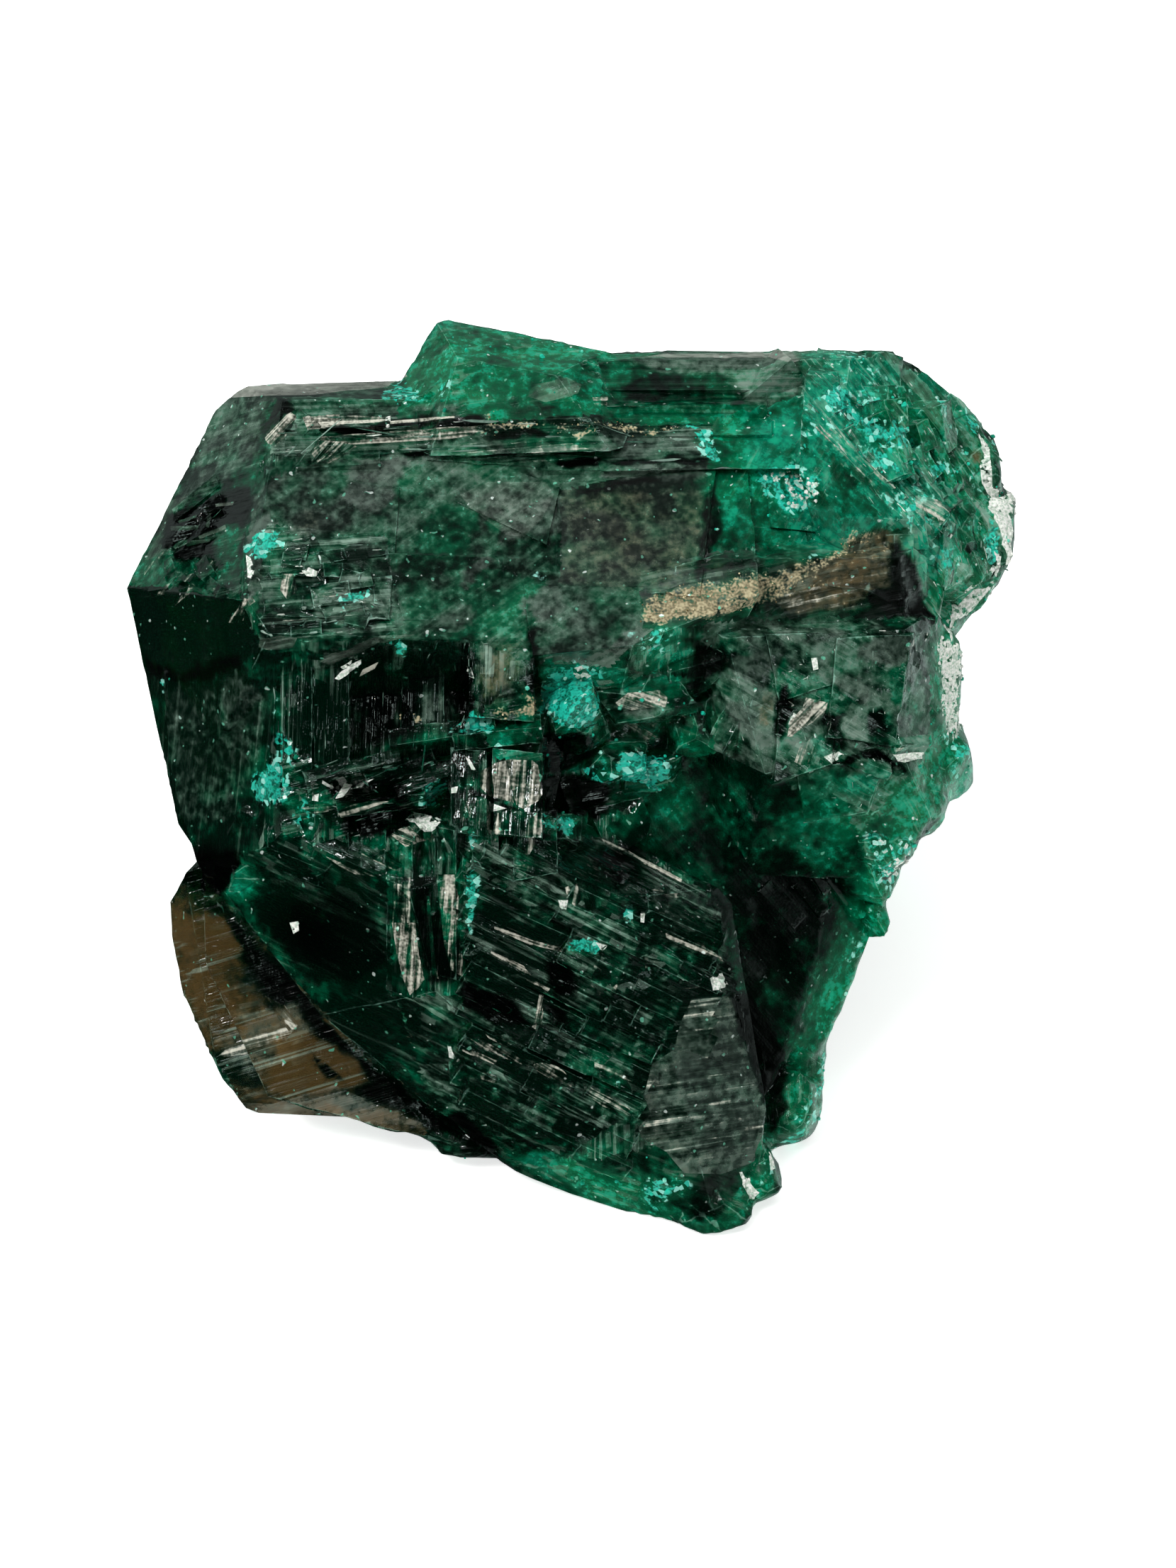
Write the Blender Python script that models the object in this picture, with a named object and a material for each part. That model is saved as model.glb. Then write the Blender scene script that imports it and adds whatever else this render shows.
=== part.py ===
"""Dioptase: a chunk of intergrown emerald-green crystals, lying on a flat broken underside.

The stone is laid out in the viewer's frame, in millimetres: right, up the view and toward
the viewer, who looks down on it at VIEW_ELEVATION. Each crystal is a block cut by its flat
faces, a thin plate on another's face, a bar, an upright prism or a faceted lump. They are
joined into one solid, which is turned from the viewer's frame into the world, cut flat
where it rests, and set with its origin on the table under the middle of its box.
"""
import math
import random

import bmesh
import bpy
from mathutils import Matrix, Vector

MM = 0.001
VIEW_ELEVATION = 50.0  # degrees above the table
BLOCK_SIZE = 80.0  # the uncut block that each crystal's faces cut down
MERGE_DISTANCE = 0.0005  # corners closer than this are one corner
CORE_DEPTH = -16.0  # where the core ends behind, before the table and rear wall cut it
LEDGE_ANGLE = 25.0  # degrees that the wedge's ledges run down to the right
PRISM_SIDES = 6
RHOMB_SLOPE = 0.8  # how far a prism's three tip faces lean out from its axis

# a face is right, up, toward, and its rise toward the viewer per mm right and per mm up
TOP_FACE = (-3.3, 14.64, 4.5, -0.05, -0.58)
UPPER_LEFT_FACE = (-7.26, 14.64, 4.7, 1.27, -0.79)
DARK_LEFT_FACE = (-7.26, 14.64, 4.7, 1.41, 0.38)
EMERALD_FACE = (4.6, 17.2, 2.35, -0.18, -0.42)
SLOPE_FACE = (7.0, 18.6, 1.2, -0.75, -0.75)
BLOCK_FACE = (5.4, 13.0, 3.3, -0.2, 0.12)
FLANK_FACE = (3.86, 7.44, 0.55, -0.28, 0.32)
WEDGE_RIM_FACE = (-6.5, 6.9, 1.75, 0.62, 0.62)
LEDGE_FACE = (-0.14, 5.84, 2.75, -0.16, 0.42)
PLATE_FACE = (2.2, 4.3, 1.75, -0.62, 0.3)
BROWN_FACE = (-6.6, 5.84, -0.9, 0.22, 0.16)
RIGHT_FACE = (8.3, 17.0, 1.3, -1.3, -0.2)

DIOPTASE_GREEN = (0.004, 0.09, 0.045, 1.0)


def facet(right, up, toward, slope_right, slope_up):
    """The plane of a face: a point on it and the way it looks."""
    normal = Vector((-slope_right, -slope_up, 1.0))
    return Vector((right, up, toward)), normal.normalized()


def height_on(face, right, up):
    """How far toward the viewer a face is at a place."""
    return face[2] + face[3] * (right - face[0]) + face[4] * (up - face[1])


def view_turn():
    """The turn from the viewer's frame into the world's."""
    return Matrix.Rotation(math.radians(90.0 - VIEW_ELEVATION), 3, "X")


def world_facet(x, y, z, normal_x, normal_y, normal_z):
    """A plane given in the world's frame, such as the rear wall's, for the viewer's frame."""
    to_view = view_turn().inverted()
    normal = to_view @ Vector((normal_x, normal_y, normal_z))
    return to_view @ Vector((x, y, z)), normal.normalized()


def rim_planes(rim, lean):
    """A side plane through each edge of the rim, drawn in by lean for each mm it goes back."""
    planes = []
    for start, end in zip(rim, rim[1:] + rim[:1]):
        along = Vector(end) - Vector(start)
        outward = Vector((along.y, -along.x, 0.0)).normalized()
        backward = Vector((0.0, 0.0, -1.0)) - outward * lean
        normal = along.cross(backward)
        if normal.dot(outward) < 0.0:
            normal.negate()
        planes.append((Vector(start), normal.normalized()))
    return planes


def cut(body, point, normal):
    """Take away what lies beyond a plane, and close the cut with a flat face."""
    everything = body.verts[:] + body.edges[:] + body.faces[:]
    bmesh.ops.bisect_plane(body, geom=everything, plane_co=point, plane_no=normal, clear_outer=True)
    open_edges = [edge for edge in body.edges if edge.is_boundary]
    bmesh.ops.holes_fill(body, edges=open_edges, sides=0)


def chip(body, seed, count, depth):
    """Break some of a convex crystal's corners off with small flat faces."""
    chance = random.Random(seed)
    for _ in range(count):
        middle = sum((corner.co for corner in body.verts), Vector()) / len(body.verts)
        body.verts.ensure_lookup_table()
        corner = body.verts[chance.randrange(len(body.verts))].co.copy()
        outward = (corner - middle).normalized()
        outward += Vector([chance.uniform(-0.5, 0.5) for _ in range(3)])
        outward.normalize()
        cut(body, corner - outward * depth * chance.uniform(0.4, 1.0), outward)


def crystal(rim, facets, back, lean=0.2, chips=(0, 0, 0.0)):
    """A convex crystal: its rim as seen, its front faces, and the depth of its rear face."""
    body = bmesh.new()
    bmesh.ops.create_cube(body, size=BLOCK_SIZE)
    rear = (Vector((0.0, 0.0, back)), Vector((0.0, 0.0, -1.0)))
    for point, normal in rim_planes(rim, lean) + facets + [rear]:
        cut(body, point, normal)
    chip(body, *chips)
    bmesh.ops.remove_doubles(body, verts=body.verts[:], dist=MERGE_DISTANCE)
    return body


def plate(outline, face, lift, tilt_right=0.0, tilt_up=0.0, depth=2.0):
    """A thin plate grown on a face: its outline, its lift off the face, and its own tilt."""
    middle_right = sum(point[0] for point in outline) / len(outline)
    middle_up = sum(point[1] for point in outline) / len(outline)
    top = height_on(face, middle_right, middle_up) + lift
    own_face = (middle_right, middle_up, top, face[3] + tilt_right, face[4] + tilt_up)
    rim = [(right, up, height_on(own_face, right, up)) for right, up in outline]
    return crystal(rim, [facet(*own_face)], top - depth, -0.12)


def bar(middle, size, heading, slope, roll=0.0, skew=0.0):
    """A flat-faced bar: its heading in the view plane, its slope away, and its roll, degrees."""
    length, width, thick = size
    body = bmesh.new()
    bmesh.ops.create_cube(body, size=1.0)
    for corner in body.verts:
        shear = skew * corner.co.y * width
        corner.co = Vector((corner.co.x * length + shear, corner.co.y * width, corner.co.z * thick))
    turn = (
        Matrix.Rotation(math.radians(heading), 4, "Z")
        @ Matrix.Rotation(math.radians(slope), 4, "Y")
        @ Matrix.Rotation(math.radians(roll), 4, "X")
    )
    place = Matrix.Translation(Vector(middle)) @ turn
    bmesh.ops.transform(body, matrix=place, verts=body.verts[:])
    return body


def shard(face, place, size, heading, pitch, roll, proud):
    """A flat-faced bar set into a face, tilted, with its top this far proud of it."""
    length, width, thick = size
    right, up = place
    outward = facet(*face)[1]
    along = Vector((math.cos(math.radians(heading)), math.sin(math.radians(heading)), 0.0))
    along = (along - outward * along.dot(outward)).normalized()
    across = outward.cross(along)
    to_face = Matrix((along, across, outward)).transposed()
    tilt = Matrix.Rotation(math.radians(pitch), 3, "Y") @ Matrix.Rotation(math.radians(roll), 3, "X")
    middle = Vector((right, up, height_on(face, right, up))) - outward * (thick / 2.0 - proud)
    body = bmesh.new()
    bmesh.ops.create_cube(body, size=1.0)
    for corner in body.verts:
        local = Vector((corner.co.x * length, corner.co.y * width, corner.co.z * thick))
        corner.co = middle + to_face @ tilt @ local
    return body


def scatter(face, area, counts, seed, size, heading, tilt, proud):
    """Shards at random places in a slanted area of a face, with random sizes and tilts."""
    chance = random.Random(seed)
    start, along, down = (Vector(corner) for corner in area)
    shards = []
    for row in range(counts[1]):
        for column in range(counts[0]):
            across_part = (column + chance.random()) / counts[0]
            down_part = (row + chance.random()) / counts[1]
            place = start + along * across_part + down * down_part
            length = size[0] * chance.uniform(0.5, 1.0) ** 1.3
            width = size[1] * chance.uniform(0.5, 1.0)
            turn = heading[0] + heading[1] * chance.uniform(-1.0, 1.0)
            pitch = tilt[0] * chance.uniform(-1.0, 1.0)
            roll = tilt[1] + tilt[2] * chance.uniform(-1.0, 1.0)
            top = proud * chance.uniform(-0.2, 1.0)
            shards.append(shard(face, place, (length, width, 1.2), turn, pitch, roll, top))
    return shards


def lump(middle, size, seed, cuts=9):
    """A broken fragment: a turned cube cut by flat faces at random, fitted to its box."""
    chance = random.Random(seed)
    body = bmesh.new()
    bmesh.ops.create_cube(body, size=1.0)
    spin = Matrix.Rotation(chance.uniform(0.0, math.tau), 4, "X")
    spin = spin @ Matrix.Rotation(chance.uniform(0.0, math.tau), 4, "Z")
    bmesh.ops.transform(body, matrix=spin, verts=body.verts[:])
    for _ in range(cuts):
        outward = Vector([chance.gauss(0.0, 1.0) for _ in range(3)]).normalized()
        cut(body, outward * chance.uniform(0.40, 0.56), outward)
    lowest = [min(corner.co[axis] for corner in body.verts) for axis in range(3)]
    highest = [max(corner.co[axis] for corner in body.verts) for axis in range(3)]
    for corner in body.verts:
        for axis in range(3):
            part_way = (corner.co[axis] - lowest[axis]) / (highest[axis] - lowest[axis])
            corner.co[axis] = middle[axis] + size[axis] * (part_way - 0.5)
    return body


def standing_prism(foot, radius, length, lean, spin, chips):
    """A six-sided prism with a blunt three-faced tip, standing in the world's frame."""
    body = bmesh.new()
    bmesh.ops.create_cone(
        body, segments=PRISM_SIDES, radius1=radius, radius2=radius, depth=length, cap_ends=True
    )
    bmesh.ops.translate(body, vec=(0.0, 0.0, length / 2.0), verts=body.verts[:])
    for third in range(3):
        around = math.tau * third / 3.0 + math.tau / (2.0 * PRISM_SIDES)
        tip_face = Vector((math.cos(around) * RHOMB_SLOPE, math.sin(around) * RHOMB_SLOPE, 1.0))
        cut(body, Vector((0.0, 0.0, length)), tip_face.normalized())
    chip(body, *chips)
    turn = (
        Matrix.Rotation(math.radians(lean[1]), 4, "Y")
        @ Matrix.Rotation(math.radians(lean[0]), 4, "X")
        @ Matrix.Rotation(math.radians(spin), 4, "Z")
    )
    place = view_turn().inverted().to_4x4() @ Matrix.Translation(Vector(foot)) @ turn
    bmesh.ops.transform(body, matrix=place, verts=body.verts[:])
    return body


def core():
    """The mass behind all the crystals, down to the table and back to the rear wall."""
    rim = [
        (-8.6, 14.3, -1.0),
        (-8.3, 6.5, -1.9),
        (-6.9, 3.5, -2.6),
        (3.2, 0.7, -0.7),
        (4.7, 2.6, -1.8),
        (8.0, 13.0, -0.8),
        (8.8, 16.5, -1.4),
        (8.0, 18.6, -1.2),
        (6.0, 19.3, -0.9),
        (-6.6, 18.6, -0.8),
    ]
    faces = [
        facet(0.0, 8.0, -0.4, -0.05, 0.12),
        facet(6.6, 12.0, 0.2, -0.6, 0.1),
        world_facet(0.0, 13.9, 6.0, 0.05, 1.0, 0.25),
        world_facet(-6.9, 12.4, 6.0, -0.8, 0.75, 0.2),
        world_facet(6.4, 12.8, 6.0, 0.75, 0.7, 0.15),
        world_facet(-8.0, 9.0, 2.0, -1.0, 0.05, -0.25),
        world_facet(7.2, 9.0, 2.0, 1.0, 0.1, -0.3),
    ]
    return [crystal(rim, faces, CORE_DEPTH, 0.02, (61, 8, 0.7))]


def upper_crystal():
    """The large crystal at the upper left: a broad top face, two left faces, a front face."""
    rim = [
        (-10.1, 14.95, 0.9),
        (-8.95, 8.8, 0.8),
        (-6.0, 8.3, 1.0),
        (-1.0, 11.9, 1.0),
        (2.9, 14.6, 1.2),
        (3.3, 18.6, 0.6),
        (2.0, 20.0, -1.0),
        (-7.62, 19.5, 0.55),
        (-8.1, 19.0, 0.15),
    ]
    faces = [
        facet(*TOP_FACE),
        facet(*UPPER_LEFT_FACE),
        facet(*DARK_LEFT_FACE),
        facet(-3.3, 13.8, 5.0, 0.0, 1.1),
        facet(0.6, 13.1, 4.7, -0.8, 1.3),
        facet(-5.0, 19.2, 1.9, 0.0, -4.0),
    ]
    return [crystal(rim, faces, -5.2, 0.42)]


def top_plates():
    """The broad low plates of the top face, each tilted a little its own way."""
    return [
        plate([(-0.35, 17.3), (-0.4, 14.9), (2.8, 14.75), (3.2, 17.6)], TOP_FACE, 0.06, 0.02, 0.03),
        plate([(-2.7, 16.9), (-0.6, 15.9), (-0.3, 17.2), (-1.6, 17.7)], TOP_FACE, 0.06, 0.04, -0.06),
        plate([(-1.1, 15.0), (-0.9, 13.4), (1.9, 13.7), (2.5, 14.9)], TOP_FACE, 0.04, -0.03, 0.03),
        plate([(-6.9, 17.6), (-6.9, 14.3), (-4.1, 14.2), (-3.9, 17.2)], TOP_FACE, 0.03, 0.03, -0.02),
        plate([(-4.2, 15.7), (-3.8, 14.2), (-1.4, 14.2), (-1.6, 15.6)], TOP_FACE, 0.03, -0.03, 0.05),
    ]


def top_blocks():
    """The small broken blocks at the lower left of the top face."""
    area = ((-6.7, 16.0), (2.5, -0.1), (0.2, -2.0))
    return scatter(TOP_FACE, area, (5, 5), 23, (1.0, 0.55), (4.0, 20.0), (10.0, 0.0, 24.0), 0.2)


def left_column():
    """The upright crystal below the dark left face, with its soft upright grain."""
    rim = [
        (-9.72, 13.0, 1.0),
        (-9.42, 12.1, 1.0),
        (-9.05, 10.9, 0.9),
        (-8.95, 8.75, 0.8),
        (-6.6, 8.0, 1.6),
        (-5.6, 9.0, 2.0),
        (-5.6, 13.4, 2.0),
        (-8.0, 13.4, 1.6),
    ]
    faces = [
        facet(-9.4, 11.5, 1.1, 0.95, 0.08),
        facet(-6.7, 11.5, 3.65, 0.2, 0.12),
        facet(-8.0, 13.0, 2.6, 0.9, -1.4),
        facet(-7.6, 8.9, 2.5, 0.7, 1.4),
    ]
    return [crystal(rim, faces, -3.5, 0.2)]


def top_bands():
    """The near-level striated bands along the upper edge of the top face."""
    bands = [
        # middle, length, width, heading, roll
        ((-5.0, 18.75), 3.0, 0.34, 2.0, 44.0),
        ((-4.4, 18.25), 4.2, 0.42, -1.0, 18.0),
        ((-5.3, 17.85), 1.9, 0.30, 4.0, 40.0),
        ((-1.4, 18.3), 4.0, 0.40, -3.0, 40.0),
        ((-1.0, 17.95), 4.6, 0.34, -4.0, 16.0),
        ((1.1, 17.75), 3.4, 0.34, 1.0, 38.0),
        ((0.6, 18.75), 4.4, 0.30, 1.0, 46.0),
        ((-6.35, 18.3), 1.3, 0.26, 52.0, 40.0),
        ((-6.0, 18.0), 1.1, 0.24, 50.0, 20.0),
    ]
    made = []
    for (right, up), length, width, heading, roll in bands:
        toward = height_on(TOP_FACE, right, up) - 0.20
        made.append(bar((right, up, toward), (length, width, 0.9), heading, 2.0, roll))
    return made


def left_steps():
    """The dark stepped cluster on the upper left face: short bars in rough level rows."""
    high = ((-8.7, 17.2), (1.2, 0.1), (-0.7, -1.9))
    low = ((-9.3, 15.5), (1.9, -0.1), (-0.1, -0.7))
    steps = scatter(UPPER_LEFT_FACE, high, (2, 6), 11, (1.5, 0.5), (9.0, 7.0), (6.0, 20.0, 12.0), 0.24)
    steps += scatter(UPPER_LEFT_FACE, low, (3, 2), 12, (1.0, 0.4), (-30.0, 16.0), (8.0, 0.0, 20.0), 0.2)
    return steps


def summit_lump():
    """The paler lump that stands up behind the top edge."""
    rim = [
        (-4.3, 19.6, 0.9),
        (-3.3, 18.5, 1.0),
        (0.9, 18.6, 1.0),
        (1.5, 19.4, 0.6),
        (1.1, 20.2, 0.4),
        (-0.37, 20.6, 0.6),
        (-1.75, 20.92, 0.2),
        (-2.66, 21.05, 0.0),
        (-3.1, 20.88, 0.1),
        (-3.7, 20.22, 0.6),
    ]
    faces = [
        facet(-1.5, 19.3, 2.3, 0.0, -0.5),
        facet(-1.8, 20.1, 1.75, -0.25, -1.9),
        facet(-3.2, 19.8, 1.3, 1.5, -0.9),
        facet(0.2, 19.6, 1.8, -0.7, -1.0),
    ]
    low_lumps = [
        lump((-3.0, 19.2, 1.3), (1.3, 0.9, 1.2), 31),
        lump((-1.9, 19.0, 1.6), (1.5, 0.9, 1.1), 32),
        lump((-0.6, 19.3, 1.6), (1.3, 1.0, 1.1), 33),
    ]
    return [crystal(rim, faces, -3.6, 0.3)] + low_lumps


def upper_right_crystal():
    """The level-banded crystal at the upper right, as a flight of low steps."""
    rim = [
        (0.3, 20.36, -0.2),
        (1.0, 18.3, 1.0),
        (5.6, 18.2, 1.2),
        (7.2, 19.0, 0.2),
        (7.3, 20.25, -0.6),
        (6.5, 20.5, -0.5),
        (2.0, 20.28, -0.3),
    ]
    faces = [
        facet(3.5, 19.9, 1.1, -0.04, -0.7),
        facet(3.5, 20.12, 0.95, 0.0, -4.5),
        facet(6.3, 19.6, 1.1, -0.8, -0.6),
    ]
    steps = [
        bar((2.4, 19.55, 1.15), (3.9, 0.5, 0.8), 0.0, 0.0, 48.0),
        bar((2.2, 18.95, 1.5), (4.3, 0.55, 0.8), 0.5, 0.0, 20.0),
        bar((2.5, 18.5, 1.85), (3.9, 0.4, 0.8), 1.0, 1.0, 44.0),
        bar((4.3, 19.3, 1.1), (1.9, 1.0, 0.8), 40.0, 4.0, 30.0),
    ]
    return [crystal(rim, faces, -4.4, 0.4)] + steps


def emerald_face():
    """The bright see-through face right of the top face, and the seam crystal under it."""
    rim = [
        (2.6, 14.3, 1.5),
        (5.0, 13.6, 1.5),
        (8.0, 14.2, 0.8),
        (8.6, 17.0, 0.2),
        (7.4, 19.4, 0.0),
        (3.0, 19.2, 0.8),
    ]
    faces = [
        facet(*EMERALD_FACE),
        facet(7.2, 17.5, 1.55, -0.85, -0.35),
        facet(4.6, 15.0, 3.1, 0.0, 1.2),
        facet(3.4, 18.2, 1.75, 0.5, -0.9),
    ]
    seam_rim = [
        (2.2, 14.0, 1.5),
        (7.9, 13.7, 1.5),
        (7.9, 15.6, 1.0),
        (6.4, 16.5, 1.0),
        (2.4, 15.3, 1.5),
    ]
    seam_faces = [
        facet(4.4, 14.8, 3.3, -0.22, 0.35),
        facet(6.4, 15.7, 3.0, -0.2, -1.6),
        facet(7.6, 15.0, 2.4, -1.4, 0.2),
    ]
    shards = [
        plate([(3.2, 18.0), (3.4, 16.4), (4.4, 16.0), (4.9, 17.6)], EMERALD_FACE, 0.05, 0.08, 0.03),
        plate([(4.3, 17.9), (4.4, 16.3), (5.6, 16.2), (6.1, 17.0)], EMERALD_FACE, 0.10, -0.12, -0.08),
        plate([(3.4, 16.4), (3.5, 15.3), (5.4, 15.3), (5.2, 16.2)], EMERALD_FACE, 0.02, 0.0, 0.12),
    ]
    return [crystal(rim, faces, -4.0), crystal(seam_rim, seam_faces, 0.0, 0.05)] + shards


def rough_slope():
    """The broken slope that falls away to the right, under the upper right corner."""
    rim = [
        (5.6, 20.38, -0.2),
        (6.2, 14.4, 0.6),
        (8.6, 13.9, 0.2),
        (9.4, 15.6, -0.8),
        (9.45, 17.8, -1.0),
        (9.0, 18.9, -1.0),
        (8.05, 19.68, -0.9),
        (7.25, 20.34, -0.8),
    ]
    faces = [
        facet(*SLOPE_FACE),
        facet(*RIGHT_FACE),
        facet(7.4, 15.5, 2.0, -0.7, 0.5),
        facet(6.6, 19.9, 0.6, -0.5, -2.4),
    ]
    upper_area = ((5.5, 19.7), (1.9, 0.1), (1.6, -2.9))
    lower_area = ((7.2, 19.2), (1.6, -0.6), (0.3, -3.6))
    scales = scatter(SLOPE_FACE, upper_area, (4, 6), 8, (1.7, 0.6), (-52.0, 18.0), (12.0, -14.0, 26.0), 0.1)
    scales += scatter(RIGHT_FACE, lower_area, (3, 5), 9, (1.6, 0.6), (-66.0, 22.0), (14.0, 0.0, 30.0), 0.1)
    return [crystal(rim, faces, -6.0, 0.25, (9, 4, 0.4))] + scales


def front_right_block():
    """The glossy broken block under the seam, with its steps and pits."""
    rim = [
        (3.0, 14.2, 1.0),
        (2.6, 11.0, 1.0),
        (4.2, 8.6, 0.6),
        (7.0, 8.4, 0.4),
        (8.45, 10.2, 0.4),
        (8.72, 12.4, 0.5),
        (8.72, 13.9, 0.4),
        (6.5, 14.6, 0.6),
    ]
    faces = [
        facet(*BLOCK_FACE),
        facet(5.4, 14.0, 3.2, -0.1, -2.2),
        facet(7.4, 12.5, 2.75, -1.6, 0.2),
        facet(5.5, 10.6, 2.7, -0.35, 0.75),
        facet(3.6, 12.0, 3.1, 1.1, 0.5),
    ]
    steps = [
        plate([(5.9, 13.8), (5.7, 11.6), (7.2, 11.4), (7.6, 13.9)], BLOCK_FACE, 0.12, -0.02, 0.02),
        plate([(4.3, 13.9), (4.6, 12.4), (5.9, 12.8), (5.8, 13.9)], BLOCK_FACE, 0.07, -0.10, -0.08),
        plate([(4.6, 12.3), (4.5, 10.6), (5.8, 11.0), (5.9, 12.2)], BLOCK_FACE, 0.14, -0.16, -0.12),
        plate([(5.0, 10.9), (5.2, 9.7), (6.6, 9.9), (7.0, 11.1)], BLOCK_FACE, -0.2, -0.05, 0.45),
        bar((7.55, 11.35, 2.5), (0.9, 0.22, 0.7), 6.0, 34.0, -30.0),
        bar((6.5, 11.15, 2.75), (1.3, 0.25, 0.8), -22.0, 14.0, 30.0),
        bar((3.7, 11.9, 2.7), (1.5, 0.5, 0.9), 62.0, 0.0, -30.0),
        bar((4.2, 12.9, 3.0), (1.3, 0.5, 0.9), 70.0, 0.0, 26.0),
    ]
    return [crystal(rim, faces, -2.0, 0.1)] + steps


def dark_flank():
    """The long smooth flank that falls from the block to the lower right edge."""
    rim = [
        (-0.4, 12.2, 0.4),
        (3.0, 1.0, -0.8),
        (4.95, 2.3, -1.8),
        (5.74, 4.6, -1.8),
        (6.93, 7.0, -1.0),
        (7.6, 9.0, -0.4),
        (8.4, 12.0, -0.2),
        (5.0, 13.6, 0.5),
        (1.0, 13.6, 0.5),
    ]
    faces = [
        facet(*FLANK_FACE),
        facet(5.6, 7.0, -0.1, -0.9, 0.4),
        facet(4.9, 4.4, -0.85, -0.9, 0.55),
    ]
    area = ((4.4, 10.2), (2.4, -0.3), (0.1, -2.6))
    scales = scatter(FLANK_FACE, area, (4, 5), 17, (1.3, 0.5), (-50.0, 12.0), (8.0, -22.0, 16.0), 0.1)
    return [crystal(rim, faces, -7.0, 0.15)] + scales


def wedge():
    """The large wedge that points down at the viewer, with its rim, ledge and plate faces."""
    rim = [
        (-8.0, 8.3, 1.3),
        (-6.6, 6.5, 1.2),
        (-4.94, 4.5, 0.7),
        (-3.0, 3.1, -0.3),
        (-1.6, 2.27, -1.5),
        (0.0, 1.33, -1.0),
        (2.3, 0.25, -0.15),
        (3.3, 0.05, 0.0),
        (4.4, 1.8, -0.4),
        (4.3, 3.4, 0.1),
        (3.3, 7.6, 1.4),
        (0.8, 9.2, 2.0),
        (-2.5, 10.4, 2.4),
        (-7.0, 9.6, 2.0),
    ]
    faces = [
        facet(*WEDGE_RIM_FACE),
        facet(*LEDGE_FACE),
        facet(*PLATE_FACE),
        facet(0.66, 2.5, 1.05, 0.5, 1.2),
        facet(-3.6, 9.0, 3.9, 0.1, -0.5),
        facet(1.6, 8.2, 3.1, -0.5, -0.9),
        facet(3.0, 1.2, 0.35, -0.2, 0.5),
    ]
    return [crystal(rim, faces, -6.0, 0.6)]


def ledge_right_end(row_up):
    """Where a ledge that starts at this height meets the plate face, or the wedge's right edge."""
    if row_up < 6.5:
        return 1.25 + 0.27 * (row_up - 3.2)
    return 3.25


def wedge_ledges():
    """The stair of thin plates across the wedge, running down to the right."""
    chance = random.Random(5)
    fall = math.tan(math.radians(LEDGE_ANGLE))
    plates = []
    row_up = 3.0
    while row_up < 9.3:
        width = chance.uniform(0.32, 0.62)
        left_end = -2.6 + chance.uniform(-0.1, 0.1) + max(0.0, row_up - 8.2) * 1.2
        right_end = ledge_right_end(row_up) + chance.uniform(-0.15, 0.1)
        joint = left_end + (right_end - left_end) * chance.uniform(0.3, 0.7)
        for start, end in ((left_end, joint + 0.1), (joint, right_end)):
            right = (start + end) / 2.0
            up = row_up - fall * (right + 0.9)
            toward = height_on(LEDGE_FACE, right, up) + chance.uniform(-0.34, -0.16)
            length = (end - start) / math.cos(math.radians(LEDGE_ANGLE))
            roll = 24.0 + chance.uniform(-18.0, 16.0)
            heading = -LEDGE_ANGLE + chance.uniform(-2.0, 2.0)
            plates.append(bar((right, up, toward), (length, width, 0.9), heading, 18.0, roll))
        row_up += width * 0.86
    return plates


def upright_columns():
    """The striated upright prisms of the middle: under the top face, and down the wedge."""
    columns = [
        # middle, height, width, depth, lean toward the viewer, turn about its length, skew
        ((-6.0, 12.1, 3.45), 3.2, 0.7, 1.3, 6.0, -16.0, 0.1),
        ((-5.35, 12.2, 3.5), 3.0, 0.8, 1.3, 7.0, -4.0, -0.1),
        ((-4.45, 12.5, 2.9), 2.4, 0.7, 1.2, 8.0, 10.0, 0.1),
        ((-3.3, 12.6, 3.4), 2.0, 0.95, 1.2, 6.0, -6.0, 0.0),
        ((-1.65, 12.95, 4.05), 1.75, 1.45, 1.3, 8.0, 5.0, 0.1),
        ((-5.2, 9.7, 3.0), 1.7, 0.8, 1.5, 10.0, -16.0, 0.2),
        ((-4.5, 9.6, 3.2), 1.5, 0.7, 1.5, 9.0, 8.0, -0.2),
        ((-2.2, 10.3, 3.85), 1.9, 0.8, 1.4, -6.0, -12.0, 0.15),
        ((-1.2, 10.25, 4.0), 1.9, 1.1, 1.4, -7.0, -3.0, 0.1),
        ((-1.0, 9.2, 3.6), 1.4, 1.0, 1.5, 2.0, 12.0, -0.2),
        ((-2.0, 9.0, 3.6), 1.3, 0.9, 1.4, 6.0, -10.0, 0.2),
        ((-3.72, 7.85, 3.25), 3.9, 0.62, 1.2, 23.0, -16.0, 0.3),
        ((-3.15, 7.95, 3.35), 3.7, 0.34, 1.2, 23.0, 22.0, -0.2),
        ((-2.75, 8.1, 3.52), 3.6, 0.42, 1.2, 22.0, -8.0, 0.2),
        ((-6.4, 10.6, 2.7), 2.6, 1.1, 1.2, 12.0, -24.0, 0.1),
    ]
    return [
        bar(middle, (height, width, depth), 90.0, -lean, turn, skew)
        for middle, height, width, depth, lean, turn, skew in columns
    ]


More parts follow.
